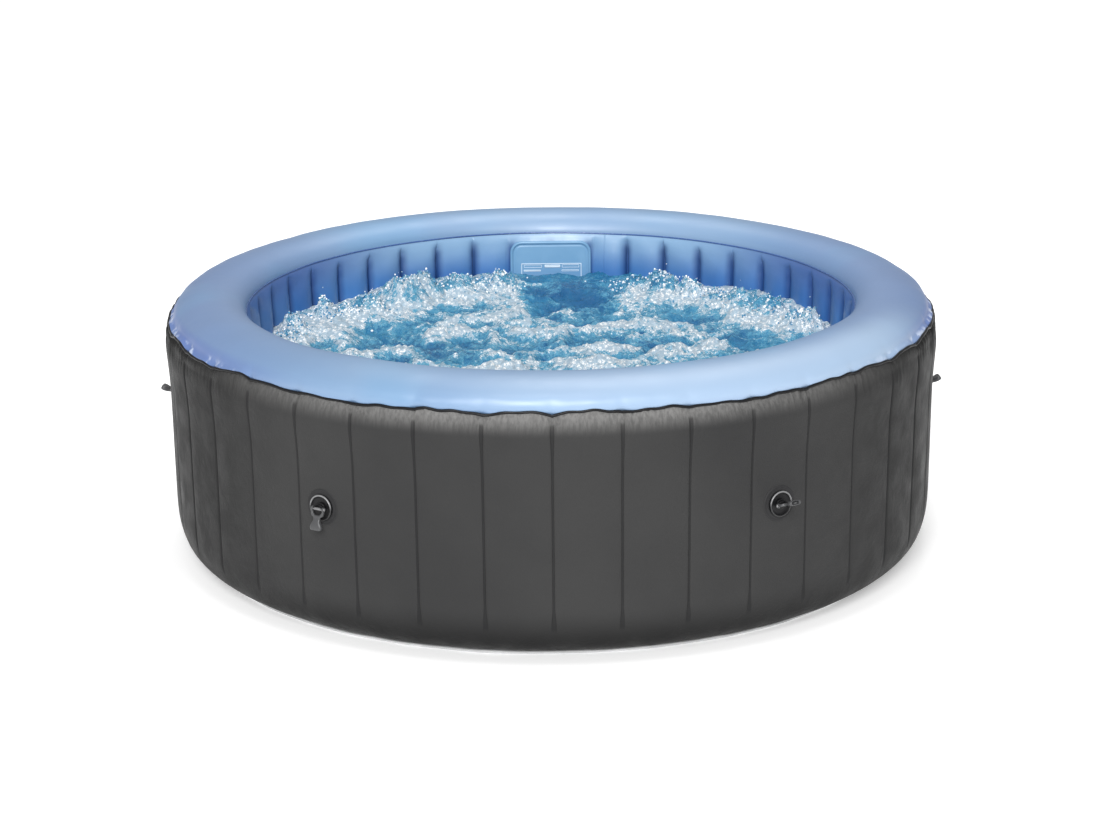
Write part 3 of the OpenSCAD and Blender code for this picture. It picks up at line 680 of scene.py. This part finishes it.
def top_ring():
    """Soft ring: a short flange above the welt, an outer and an inner quarter, small dents."""
    az, t = columns(WELDS, 30, 0.3)
    side_r, side_high = R - 0.0095, 0.055
    low = [(side_r - 0.004, WELT_Z - 0.001), (side_r - 0.0005, WELT_Z + 0.006), (side_r, WELT_Z + 0.014)]
    over = np.linspace(math.radians(6), math.pi / 2, 24)
    outer = np.column_stack([APEX_R + (side_r - APEX_R) * np.cos(over),
                             TOP - side_high + side_high * np.sin(over)])
    down = np.linspace(math.pi / 2, math.pi, 26)[1:]
    inner = np.column_stack([APEX_R + (APEX_R - SEAM_R) * np.cos(down),
                             SEAM_Z + (TOP - SEAM_Z) * np.sin(down)])
    line = np.vstack([spline(low, [4, 4])[:-1], outer, inner])
    normal = normals_2d(line)
    r0, z0 = line.T[:, None]
    welt_z = welt_height(az)
    z = z0 + (welt_z - WELT_Z) * (1 - smooth(z0, WELT_Z, WELT_Z + 0.036)) * (r0 > APEX_R)
    off = np.minimum(t, 1 - t) * WELD_STEP * R
    outside = smooth(r0, APEX_R, side_r)
    above = z - welt_z
    pinch = -0.0032 * np.exp(-(off / 0.014) ** 2) * np.exp(-(above / 0.02).clip(0, 9)) * outside
    k, _ = cell_of(az)
    flare = 0.0045 * FLARES[k] * np.sin(np.pi * t) ** 0.5 + 0.0065 * flank(az)
    flare = flare * np.exp(-(above / 0.006).clip(0, 9) ** 2) * outside
    flare = flare - FLANGE * flank(az) * outside * smooth(z0, WELT_Z + 0.004, WELT_Z + 0.016)
    sag = 0.0014 * wander(az, 2, 14, 51) + 0.0006 * wander(az, 15, 60, 52) * outside
    d = pinch + sag * smooth(z0, SEAM_Z, SEAM_Z + 0.02)
    points = around(az, r0 + d * normal[:, 0] + flare, z + d * normal[:, 1])
    obj = finish_mesh("top_ring_inflated", points, quads(len(az), len(line)), "ring_pvc")
    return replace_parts(obj, "top_ring")


def seam_bead():
    """Raised weld between the top ring and the inner wall."""
    az, turn = even_angles(720)[:, None], even_angles(8)
    r = SEAM_R - 0.0004 + 0.0020 * np.cos(turn)
    z = SEAM_Z + 0.0006 * wander(az, 3, 30, 55) + 0.0021 * np.sin(turn)
    finish_mesh("inner_seam_bead", around(az, r, z), quads(len(az), len(turn), wrap_v=True),
                "ring_pvc", "seam_pvc")


# ---- inner wall ----

# offset from the seam's radius and height in mm, and steps up to the next point
LINER_OUTLINE = [
    (0, 658, 3), (-4, 650, 4), (-8, 636, 5), (-11, 620, 7), (-14, 602, 7), (-16, 575, 6), (-17, 530, 5),
    (-17, 440, 4), (-15, 300, 4), (-12, 170, 3), (-4, 90, 3), (14, 40, 3), (46, 13, 0),
]


def liner_radius(az, t, line):
    """Radius of the inner wall at each angle and each point of its outline; t is the place in the bulge."""
    r0, z0 = line.T[:, None]
    off = np.minimum(t, 1 - t) * CREASE_STEP * SEAM_R
    along = angle_from(az, azimuth(PANEL_MID.x, PANEL_MID.y)) * SEAM_R
    half = (PANEL_HI.x - PANEL_LO.x) / 2
    open_wall = smooth(np.abs(along), half + 0.002, half + 0.012)
    rng = np.random.default_rng(61)
    tops = 0.638 + rng.uniform(-0.006, 0.004, CREASES)
    top = tops[np.round(az / CREASE_STEP).astype(int) % CREASES]
    creased = (1 - smooth(z0, top - 0.045, top + 0.018)) * smooth(z0, 0.05, 0.12)
    side = 2 * t - 1
    valley = (0.013 * (1 - (1 - side ** 2).clip(0, 1) ** 0.5) + 0.009 * side ** 2) * creased
    notch = 0.006 * np.exp(-(off / 0.0032) ** 2) * creased
    pinch = 0.0035 * np.exp(-(off / 0.011) ** 2 - ((z0 - top + 0.006) / 0.011) ** 2)
    lean = -0.0022 * np.sin(2 * np.pi * t) * creased
    slack = 0.0012 * wander(az, 4, 60, 62) * smooth(z0, 0.655, 0.62)
    r = r0 + (valley + notch + pinch + lean + slack) * open_wall
    # flat behind the panel
    flat = (PANEL_HI.y + 0.0008) / np.cos(angle_from(az, math.pi))
    behind = (1 - open_wall) * (1 - smooth(z0, PANEL_HI.z - 0.024, PANEL_HI.z + 0.003))
    return r * (1 - behind) + flat * behind


def inner_wall():
    """Bulges between the creases, and the upright weld where the wall's sheet closes."""
    az, t = columns(CREASES, 28, 0.55)
    az = az + CREASE_STEP / 2
    line = outline_curve(LINER_OUTLINE, SEAM_R)
    points = around(az, liner_radius(az, t, line), line[:, 1])
    obj = finish_mesh("inner_wall_inflated", points, quads(len(az), len(line))[:, ::-1], "liner_pvc")
    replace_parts(obj, "inner_wall")
    joint_az, joint_rows = math.radians(168.6), 40
    az = joint_az + np.array([-2.2, -1.6, -0.5, 0.5, 1.6, 2.2])[:, None] * MM / SEAM_R
    lift = np.array([0.6, -0.8, -1.7, -1.7, -0.8, 0.6])[:, None] * MM
    upright = line[:joint_rows]
    r = liner_radius(az, (az / CREASE_STEP - 0.5) % 1, upright) + lift
    finish_mesh("inner_wall_joint", around(az, r, upright[:, 1]),
                quads(len(az), joint_rows, wrap_u=False)[:, ::-1], "liner_pvc")


def web_straps():
    """Slack straps inside the air chamber, one from each crease to the nearest weld."""
    rng = np.random.default_rng(65)
    valves = [JOINTS[n]["pos_m"] for n in ("drain_cap_turn", "inflation_cap_turn")]
    # angle and the degrees kept free on each side of it: the valves and the ports
    blocked = [(azimuth(x, y), 5) for x, y, _ in valves] + [(math.radians(176), 6)]
    lo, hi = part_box("web_straps")
    shape = Shape()
    for k in range(CREASES):
        az = (k + 0.5) * CREASE_STEP
        if any(abs(angle_from(az, mark)) < math.radians(free) for mark, free in blocked):
            continue
        weld = round(az / WELD_STEP) * WELD_STEP
        u = np.linspace(0, 1, 14)
        z = np.linspace(lo.z + 0.06, hi.z, 40)[:, None]
        start, end = around(az, LINER_R + 0.020, 0.0), around(weld, R - 0.011, 0.0)
        across = np.cross(end - start, (0, 0, 1))
        across /= np.linalg.norm(across)
        bow = (rng.uniform(-0.002, 0.002) + 0.0012 * np.sin(9 * z + rng.uniform(0, 6))) * np.sin(np.pi * u)
        flat = start + (end - start) * u[None, :, None] + across * bow[..., None]
        flat = flat + np.array((0, 0, 1)) * z[..., None]
        sheet = [flat + across * side for side in (0.0004, -0.0004)]
        shape.grid(np.concatenate([sheet[0], sheet[1][:, ::-1]], 1).swapaxes(0, 1))
    obj = shape.piece("web_straps_scrim", "web_fabric")
    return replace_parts(obj, "web_straps")


# plain raised frames on the panel: middle, width, height and line width, in mm
PLAIN_FRAMES = [
    (0, 0, 176, 46, 2.2), (-54, 14.5, 52, 8.5, 1.2), (3, 14.5, 46, 8.5, 4.0), (56, 14.5, 50, 8.5, 1.2),
    (-56, 1.5, 50, 5, 2.2), (55, 1.5, 50, 5, 1.2),
]
FRAMES_Z = 0.550
# inset and distance in front of the panel's back face, in mm
PANEL_SECTION = [
    (0, 0), (0, 4), (1, 6.4), (2.6, 7.8), (4.5, 8.2), (6.4, 7.6), (7.8, 6.2), (8.8, 4.6), (10.5, 4.0),
    (13, 4.4), (15, 5.2), (17, 5.4),
]


def service_panel():
    """Flat panel with a beaded rim and plain raised frames."""
    size = PANEL_HI - PANEL_LO
    corner = 0.034
    axes = ((1, 0, 0), (0, 0, 1), (0, -1, 0))

    def outline(inset):
        return rounded_rect(size.x - 2 * inset, size.z - 2 * inset, corner - inset)

    shape = Shape().grid(loft(outline, [((i * MM,), y * MM) for i, y in PANEL_SECTION]), cap_end=True)
    panel = shape.piece("service_panel_moulded", "liner_pvc", "panel_pvc",
                        where=((PANEL_MID.x, PANEL_HI.y, PANEL_MID.z), axes))
    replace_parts(panel, "service_panel")
    shape = Shape()
    for x, z, wide, high, line in PLAIN_FRAMES:
        ring = [(((wide - 2 * inset) * MM, (high - 2 * inset) * MM, 0.0015), y * MM)
                for inset, y in ((0, 5.2), (0, 6.1), (line, 6.1), (line, 5.2))]
        shape.grid(loft(rounded_rect, ring) + np.array((x, z, 0)) * MM)
    shape.piece("panel_frames", "white_plastic", "frame_white",
                where=((PANEL_MID.x + 0.002, PANEL_HI.y, FRAMES_Z), axes))


# ---- water ----

def value_noise(x, y, table):
    """Smooth noise from 0 to 1 over a table of random values, one for each whole x and y."""
    n = table.shape[0]
    i, j = np.floor(x).astype(int), np.floor(y).astype(int)
    u, v = x - i, y - j
    u, v = smooth(u, 0, 1), smooth(v, 0, 1)
    a, b = table[i % n, j % n], table[(i + 1) % n, j % n]
    c, d = table[i % n, (j + 1) % n], table[(i + 1) % n, (j + 1) % n]
    return (a * (1 - u) + b * u) * (1 - v) + (c * (1 - u) + d * u) * v


def layers(x, y, scale, octaves, seed, rough=0.5, billow=False):
    """Layered noise from 0 to 1; billow folds it into rounded lumps."""
    total, weight = 0, 0
    for k in range(octaves):
        table = np.random.default_rng(seed + k).random((128, 128))
        n = value_noise(x * scale * 2 ** k + 17 * k, y * scale * 2 ** k + 5 * k, table)
        if billow:
            n = np.abs(2 * n - 1)
        total = total + n * rough ** k
        weight += rough ** k
    return total / weight


# foam heaps by the wall: angle from the front in degrees; radius, height and spread in mm
HEAPS = [
    (-100, 740, 58, 30), (-107, 740, 72, 18), (-119.5, 730, 100, 17), (-124, 700, 58, 32),
    (-131, 680, 76, 36), (-143, 700, 98, 44), (-149, 700, 96, 32), (-158, 710, 76, 36),
    (-163.5, 700, 40, 30), (-168.5, 700, 96, 24), (163.5, 720, 34, 32), (159, 720, 74, 30),
    (154.5, 720, 88, 30), (150.5, 710, 78, 28), (145.5, 710, 80, 25), (138, 700, 58, 34),
    (130, 700, 78, 32), (121, 710, 76, 30), (110.5, 720, 66, 28), (107, 740, 92, 20), (93.5, 730, 62, 32),
    (78, 720, 40, 40), (60, 700, 35, 50), (40, 690, 35, 50), (18, 700, 30, 50), (-6, 690, 35, 50),
    (-28, 700, 30, 50), (-52, 690, 35, 50), (-74, 710, 40, 45), (-88, 730, 50, 30),
]
# broken wave crests away from the wall, in mm: x, y, height, half length and half width
WAVES = [
    (-140, -140, 32, 45, 26), (90, -110, 36, 50, 26), (-145, 10, 26, 40, 24), (-20, 195, 28, 55, 26),
    (110, 50, 30, 60, 26), (-280, 520, 26, 40, 28), (-270, 360, 22, 35, 24), (-260, 205, 26, 55, 26),
    (330, -20, 28, 40, 26), (250, 280, 24, 50, 24), (-410, 60, 24, 45, 26), (-540, 0, 26, 45, 26),
    (450, 40, 36, 30, 28), (380, 190, 24, 40, 24),
]


def spurts():
    """Each heap as a bunch of narrow spurts: place, height and spread."""
    rng = np.random.default_rng(77)
    out = []
    for degrees, *sizes in HEAPS:
        r, high, spread = np.array(sizes) * MM
        x, y, _ = around(math.radians(degrees), r, 0)
        out.append((x, y, high * 0.84, spread * 1.35))
        for _ in range(9):
            dx, dy = rng.normal(0, spread * 0.75, 2)
            fall = math.exp(-(dx * dx + dy * dy) / (2 * spread ** 2))
            spurt_high = high * (0.35 + 0.65 * fall) * rng.uniform(0.75, 1.05)
            out.append((x + dx, y + dy, spurt_high, rng.uniform(0.010, 0.020)))
    return out


SPURTS = spurts()


def water_height(x, y):
    """Swell, chop, fizz, the heaps with their lumps, and a raised shore along the back wall."""
    warp = 0.05
    wx = x + warp * layers(x, y, 5, 2, 71)
    wy = y + warp * layers(x, y, 5, 2, 75)
    swell = 0.034 * (layers(wx, wy, 5.5, 3, 81) - 0.5)
    chop = 0.050 * (0.40 - layers(wx, wy, 10, 5, 91, 0.55, billow=True))
    r = np.hypot(x, y)
    back = smooth(-np.cos(azimuth(x, y)), 0.1, 0.5)
    shore = 0.030 * smooth(r, 0.52, 0.72) * back
    fizz = 0.010 * (layers(wx, wy, 60, 3, 101, 0.7) - 0.5)
    heap = np.zeros_like(x)
    for sx, sy, high, spread in SPURTS:
        d2 = (x - sx) ** 2 + (y - sy) ** 2
        heap = np.maximum(heap, high * np.exp(-d2 / (2 * spread ** 2)))
    for sx, sy, high, half_length, half_width in np.array(WAVES) * MM:
        d2 = ((wx - warp / 2 - sx) / half_length) ** 2 + ((wy - warp / 2 - sy) / half_width) ** 2
        heap = np.maximum(heap, high * np.exp(-d2 / 2))
    lumps = 0.72 + 0.55 * layers(wx, wy, 30, 4, 111, 0.65, billow=True)
    chop = chop * (1 - 0.6 * smooth(r, 0.6, 0.72) * back)
    return WATER_Z + swell + chop + fizz * (1 + heap / 0.025) + np.maximum(heap * lumps, shore)


def water():
    """The churned surface, from wall to wall."""
    n, reach = 335, LINER_R + 0.002
    g = np.linspace(-reach, reach, n)
    x, y = np.meshgrid(g, g, indexing="ij")
    r = np.hypot(x, y)
    squeeze = np.minimum(1, reach / np.maximum(r, 1e-6))
    x, y = x * squeeze, y * squeeze
    points = np.stack([x, y, water_height(x, y)], -1).reshape(-1, 3)
    keep = (r < reach + 0.004).reshape(-1)
    faces = quads(n, n, wrap_u=False)
    faces = faces[keep[faces].all(1)]
    used, index = np.unique(faces, return_inverse=True)
    finish_mesh("water_surface", points[used], index.reshape(faces.shape), "water")


def ball():
    """Vertices and triangles of a ball with 20 sides and radius 1."""
    bm = bmesh.new()
    bmesh.ops.create_icosphere(bm, subdivisions=1, radius=1)
    v = np.array([p.co for p in bm.verts])
    f = np.array([[p.index for p in face.verts] for face in bm.faces])
    bm.free()
    return v, f


def spray():
    """Bubbles that cover the foam heaps, and a few drops thrown up over them."""
    rng = np.random.default_rng(121)
    v, f = ball()
    places = []
    for sx, sy, high, spread in SPURTS:
        for _ in range(int(4 + 200 * high)):
            x, y = rng.normal((sx, sy), max(spread, 0.012) * 1.15)
            if math.hypot(x, y) < LINER_R - 0.035:
                places.append((x, y, high))
    x, y, high = np.array(places).T
    z = water_height(x, y) + rng.uniform(-0.001, 0.003, len(x))
    size = rng.uniform(0.0014, 0.0040, len(x))
    thrown = rng.random(len(x)) < 0.05  # the share of beads in the air
    z = z + thrown * rng.exponential(0.007, len(x)) * (1 + high * 8)
    size = np.where(thrown, rng.uniform(0.0008, 0.0022, len(x)), size)
    z = np.minimum(z, SEAM_Z - 0.012)  # none above the seam
    stretch = rng.uniform(0.75, 1.25, (len(x), 1, 3))
    points = v[None] * size[:, None, None] * stretch + np.stack([x, y, z], -1)[:, None, :]
    faces = f[None] + np.arange(len(x))[:, None, None] * len(v)
    finish_mesh("foam_spray", points, faces.reshape(-1, 3), "foam", "spray")


# ---- bottom ----

def ground_mat():
    """Thin mat with a soft, slightly uneven edge."""
    az = even_angles(480)[:, None]
    edge = 0.0025 * wander(az, 2, 40, 131) + 0.006 * np.exp(-((az - 5.5) / 0.45) ** 2)
    curl = 0.0012 * (1 + wander(az, 5, 60, 132))
    rows = [(0.30, MAT_TOP), (0.80, MAT_TOP), (MAT_R - 0.012, MAT_TOP), (MAT_R - 0.003, MAT_TOP - 0.0004),
            (MAT_R - 0.0006, MAT_TOP - 0.002), (MAT_R, MAT_TOP * 0.5), (MAT_R - 0.0008, 0.0015),
            (MAT_R - 0.004, 0.0), (0.80, 0.0), (0.30, 0.0)]
    r, z = np.array(rows).T
    far = smooth(r, 0.82, MAT_R)
    points = around(az, r + edge * far, z + curl * far * (z > MAT_TOP * 0.4))
    shape = Shape().grid(points, cap_start=True, cap_end=True)
    obj = shape.piece("ground_mat_cloth", "mat_foam")
    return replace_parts(obj, "ground_mat")


# ---- cover buckles ----

def buckle_frames(name):
    """Origin and axes of a swivel and of its buckle. x lies along the bar; z points outwards for the swivel
    and to the far end for the buckle."""
    swivel, flip = JOINTS["swivel_" + name], JOINTS["flip_" + name]
    out = np.array(swivel["axis"])
    bar = np.array(flip["axis"])
    pin = np.array(flip["pos_m"])
    lo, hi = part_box("buckle_" + name)
    reach = np.array((lo + hi) / 2) - pin
    reach -= bar * (reach @ bar)
    reach /= np.linalg.norm(reach)
    centre = np.array(swivel["pos_m"])
    centre = centre - out * (math.hypot(centre[0], centre[1]) - R)
    swivel_axes = np.array([bar, np.cross(out, bar), out])
    buckle_axes = np.array([bar, np.cross(reach, bar), reach])
    return (centre, swivel_axes), (pin, buckle_axes)


def buckle_patch(name, n):
    """Round welded patch that follows the wall, with its weld line and a soft edge."""
    x0, y0, z0 = JOINTS["swivel_" + name]["pos_m"]
    rings = [  # distance from the middle and height above the wall, in mm
        (0.1, 1.6), (8, 1.6), (28, 1.6), (36, 1.5), (38.5, 0.9), (40.5, 0.9), (42, 1.5), (44, 1.5),
        (45.4, 1.0), (46.2, -0.5),
    ]
    a = even_angles(72)[:, None]
    d, lift = np.array(rings).T * MM
    points = around(azimuth(x0, y0) + d * np.cos(a) / R, R + lift, z0 + d * np.sin(a))
    return finish_mesh(f"buckle_patch_{n}", points, quads(len(a), len(d))[:, ::-1], "wall_pvc", "patch_pvc")


# radius and height in mm: the base with its headed post, the bead along its rim, the swivel's collar, an eye
BASE = [
    (32.4, 1.2), (32.8, 3.5), (32.6, 7.2), (31.9, 8.4), (30.6, 9.0), (29.3, 8.4), (28.5, 7.0), (27, 5.2),
    (22, 4.3), (14, 4.0), (8.5, 4.0), (6.4, 4.2), (6.1, 5), (6.1, 9.4), (7.6, 9.5), (8.5, 10), (8.5, 11.3),
    (7.8, 12), (4, 12.3), (0.05, 12.3),
]
RIM_BEAD = [
    (28.8, 7.8), (28.9, 8.9), (29.6, 9.7), (30.5, 10.0), (31.3, 9.9), (32.2, 9.2), (32.8, 8.0), (32.8, 7.0),
    (28.8, 7.0), (28.8, 7.8),
]
COLLAR = [(6.4, 5.2), (12.3, 5.2), (13, 5.9), (13, 8.6), (12.3, 9.2), (6.4, 9.2), (6.4, 5.2)]
EYE = [(3.75, -2.5), (5.4, -2.5), (6.0, -1.9), (6.0, 1.9), (5.4, 2.5), (3.75, 2.5), (3.75, -2.5)]


def turned(profile, sides):
    """A surface turned about local Z from a profile in mm."""
    return lathe(np.array(profile) * MM, sides)


def buckle_base(where, n):
    """Round base with a raised rolled rim, a dished middle and a headed post."""
    Shape().grid(turned(RIM_BEAD, 64)).piece(f"buckle_base_rim_{n}", "black_trim", "buckle_rim", where=where)
    return Shape().grid(turned(BASE, 64)).piece(f"buckle_base_{n}", "black_trim", "buckle_black", where=where)


def along_x(points):
    """Turns what was made about local Z to lie along local X."""
    return points[..., [2, 0, 1]]


def block(w, d, h, corner, centre):
    """A box with rounded upright edges and softened top and bottom."""
    e = min(corner, 0.0008)
    levels = [((w - 2 * e, d - 2 * e, corner), -h / 2), ((w, d, corner), -h / 2 + e),
              ((w, d, corner), h / 2 - e), ((w - 2 * e, d - 2 * e, corner), h / 2)]
    return loft(rounded_rect, levels) + np.array(centre)


def buckle_swivel(name, where):
    """Collar round the base's post, with two lugs that hold the cross bar."""
    body = "swivel_" + name
    shape = Shape().grid(turned(COLLAR, 40))
    for side in (-1, 1):
        shape.grid(block(0.0035, 0.0095, 0.0125, 0.0012, (side * 0.01125, 0, 0.0148)),
                   cap_start=True, cap_end=True)
    half = [(3.5, 20), (2.5, 21), (0.01, 21)]
    bar = [(r, -x) for r, x in half[::-1]] + half
    Shape().grid(along_x(turned(bar, 24)) + np.array((0, 0, 0.018))).piece(
        f"buckle_swivel_{name}_bar", "black_trim", "buckle_gloss", body, where)
    obj = shape.piece(f"buckle_swivel_{name}_collar", "black_trim", "buckle_black", body, where)
    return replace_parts(obj, "buckle_swivel_" + name)


def superellipse(w, t, power=3.2, count=40):
    """Points round a soft-cornered oval with half width w and half thickness t."""
    a = even_angles(count)
    return np.column_stack([half * np.sign(c) * np.abs(c) ** (2 / power)
                            for half, c in ((w, np.cos(a)), (t, np.sin(a)))])


# distance along the buckle, half width and half thickness, in mm; the socket's mouth turns back inside
SOCKET = [
    (15.6, 7.5, 2.2), (16.4, 11.5, 3.2), (18, 12.2, 3.5), (21, 10.6, 3.5), (25, 9.7, 3.6), (29, 9.8, 4.6),
    (32, 10.8, 5.8), (36, 13.2, 6.4), (41, 16.0, 6.7), (45, 17.0, 6.7), (49, 16.6, 6.4), (51.6, 15.2, 6.0),
    (52.8, 13.8, 5.4), (52.6, 12.2, 4.6), (51, 11.4, 4.2), (45, 10.6, 4.0), (40, 9.8, 3.9),
]
# an arm of the yoke: distance along the buckle, distance from its middle and half width, in mm
ARM = [
    (-0.5, 16.5, 2.5), (4, 16.5, 2.5), (8, 16.1, 2.9), (11.5, 15.0, 3.9), (14.5, 13.2, 5.0),
    (17.5, 10.8, 5.2), (20, 8.5, 4.4),
]


def buckle(name, where):
    """Yoke with two eyes, a drawn-in waist and a flared socket with an open mouth."""
    levels = [((w * MM, t * MM), z * MM) for z, w, t in SOCKET]
    shape = Shape().grid(loft(superellipse, levels), cap_start=True, cap_end=True)
    for side in (-1, 1):
        levels = [((w * MM, 3.5 * MM, 3.0, 24), z * MM) for z, _, w in ARM]
        bend = np.array([(side * x, 0, 0) for _, x, _ in ARM]) * MM
        shape.grid(loft(superellipse, levels) + bend, cap_start=True, cap_end=True)
        shape.grid(along_x(turned(EYE, 32)) + np.array((side * 16.5 * MM, 0, 0)))
    obj = shape.piece(f"buckle_{name}_moulded", "black_trim", "buckle_grey", "buckle_" + name, where)
    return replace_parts(obj, "buckle_" + name)


def buckles():
    """The four cover buckles. The patches and the bases are one CAD node each."""
    patches, bases = [], []
    for n, name in enumerate(BUCKLES, 1):
        swivel_frame, buckle_frame = buckle_frames(name)
        patches.append(buckle_patch(name, n))
        bases.append(buckle_base(swivel_frame, n))
        buckle_swivel(name, swivel_frame)
        buckle(name, buckle_frame)
    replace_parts(patches[0], "buckle_patches")
    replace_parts(bases[0], "buckle_bases")


# ---- heater unit ----

def unit_shell():
    """Casing with a soft top edge, two moulded grooves round its sides and a foot line."""
    lo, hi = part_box("unit_casing")
    tray_lo, tray_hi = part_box("unit_tray")
    size, middle = hi - lo, (lo + hi) / 2
    where = ((middle.x, middle.y, 0), np.eye(3))
    corner, edge = 0.040, 0.016

    def outline(inset):
        inset = inset * MM
        return rounded_rect(size.x - 2 * inset, size.y - 2 * inset, corner - min(inset, 0.03), 12)

    # each row is an inset in mm and a height
    rows = [(3, lo.z + 0.0005), (0.6, lo.z + 0.0012), (0, lo.z + 0.003)]
    for groove in (0.120, 0.300):
        rows += [(inset, groove + up * MM)
                 for inset, up in ((0, -4), (0.4, -2.6), (1.8, -1), (1.8, 1), (0.4, 2.6), (0, 4))]
    rows += [(edge / MM * (1 - math.cos(a)), hi.z - edge + edge * math.sin(a))
             for a in np.linspace(0, math.pi / 2, 8)]
    rows += [(edge / MM + 20, hi.z)]
    shape = Shape().grid(loft(outline, [((inset,), z) for inset, z in rows]), cap_end=True)
    obj = shape.piece("unit_casing_moulded", "unit_plastic", where=where)
    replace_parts(obj, "unit_casing")
    rows = [(10, tray_lo.z), (3, tray_lo.z), (0.8, tray_lo.z + 0.001), (0, tray_lo.z + 0.003),
            (0, tray_hi.z - 0.001), (1, tray_hi.z)]
    shape = Shape().grid(loft(outline, [((inset,), z) for inset, z in rows]), cap_start=True)
    obj = shape.piece("unit_tray_moulded", "dark_plastic", where=where)
    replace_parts(obj, "unit_tray")


def key_rings():
    """A raised ring on the fascia round each key."""
    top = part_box("control_fascia")[1].z
    for key in ("heat", "filter", "bubbles", "up", "down"):
        lo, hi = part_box("button_" + key)
        middle, r = (lo + hi) / 2, (hi.x - lo.x) / 2
        ring = [(r + 0.0016, 0), (r + 0.0022, 0.0004), (r + 0.0030, 0.0004), (r + 0.0036, 0)]
        points = lathe(ring, 40) + np.array((middle.x, middle.y, top))
        Shape().grid(points).piece(f"key_ring_{key}", "button_grey")


def soften(node):
    """Rounds a CAD node's edges in the render."""
    obj = frame["nodes"][node]
    weld = obj.modifiers.new("weld", "WELD")
    weld.merge_threshold = 1e-5
    bevel = obj.modifiers.new("bevel", "BEVEL")
    bevel.width = 0.0012
    bevel.segments = 2
    bevel.limit_method = "ANGLE"
    bevel.angle_limit = math.radians(35)
    bevel.harden_normals = False


# ---- stage ----

def stage():
    """Pale floor, white surroundings, a broad front light and two soft lights above."""
    half = 30
    corners = [(-half, -half, 0), (half, -half, 0), (half, half, 0), (-half, half, 0)]
    mesh = bpy.data.meshes.new("floor")
    mesh.from_pydata(corners, [], [(0, 1, 2, 3)])
    floor = bpy.data.objects.new("floor", mesh)
    floor.location.z = -0.0005
    bpy.context.scene.collection.objects.link(floor)
    Shade("floor_pale", Base_Color=(0.96, 0.96, 0.96), Roughness=0.9, Specular_IOR_Level=0.1,
          Emission_Color=(1, 1, 1), Emission_Strength=0.30)
    mesh.materials.append(MATERIALS["floor_pale"])
    world = bpy.data.worlds.new("studio")
    world.use_nodes = True
    background = world.node_tree.nodes["Background"]
    background.inputs["Color"].default_value = (1, 1, 1, 1)
    background.inputs["Strength"].default_value = 0.38
    bpy.context.scene.world = world
    bpy.context.scene.view_settings.view_transform = "Standard"
    lights = [  # name, kind, place, aim, size or angle, strength
        ("key_front", "SUN", (-0.7, -6.8, 4.2), (0, 0, 0.4), math.radians(28), 2.9),
        ("top_front", "AREA", (-0.2, -1.9, 5.6), (0, -0.6, 0.6), 1.8, 55),
        ("top_back", "AREA", (0.4, 2.6, 5.6), (0, 0.2, 0.6), 3.0, 100),
    ]
    for name, kind, place, aim, wide, strength in lights:
        data = bpy.data.lights.new(name, kind)
        if kind == "SUN":
            data.angle = wide
        else:
            data.size = wide
        data.energy = strength
        lamp = bpy.data.objects.new(name, data)
        lamp.location = place
        lamp.rotation_euler = (Vector(aim) - Vector(place)).to_track_quat("-Z", "Y").to_euler()
        bpy.context.scene.collection.objects.link(lamp)


def camera():
    """A long lens at standing height, level with the front of the tub and turned slightly on its axis."""
    data = bpy.data.cameras.new("camera")
    data.sensor_width = 36.0
    data.lens = 102.9
    data.shift_x = -0.0017
    data.clip_end = 100
    cam = bpy.data.objects.new("camera", data)
    distance, height = 8 * R, 2.69 * R
    pitch, roll = math.radians(16.34), math.radians(-0.60)
    cam.matrix_world = (Matrix.Translation((0, -distance, height))
                        @ Matrix.Rotation(math.pi / 2 - pitch, 4, "X") @ Matrix.Rotation(roll, 4, "Z"))
    bpy.context.scene.collection.objects.link(cam)
    bpy.context.scene.camera = cam


camera()
stage()
dress_cad_nodes()
outer_wall()
welt()
top_ring()
seam_bead()
inner_wall()
web_straps()
service_panel()
water()
spray()
ground_mat()
buckles()
unit_shell()
key_rings()
for node in ("port_plate", "carry_handle", "control_fascia", "drain_cap", "inflation_cap"):
    soften(node)
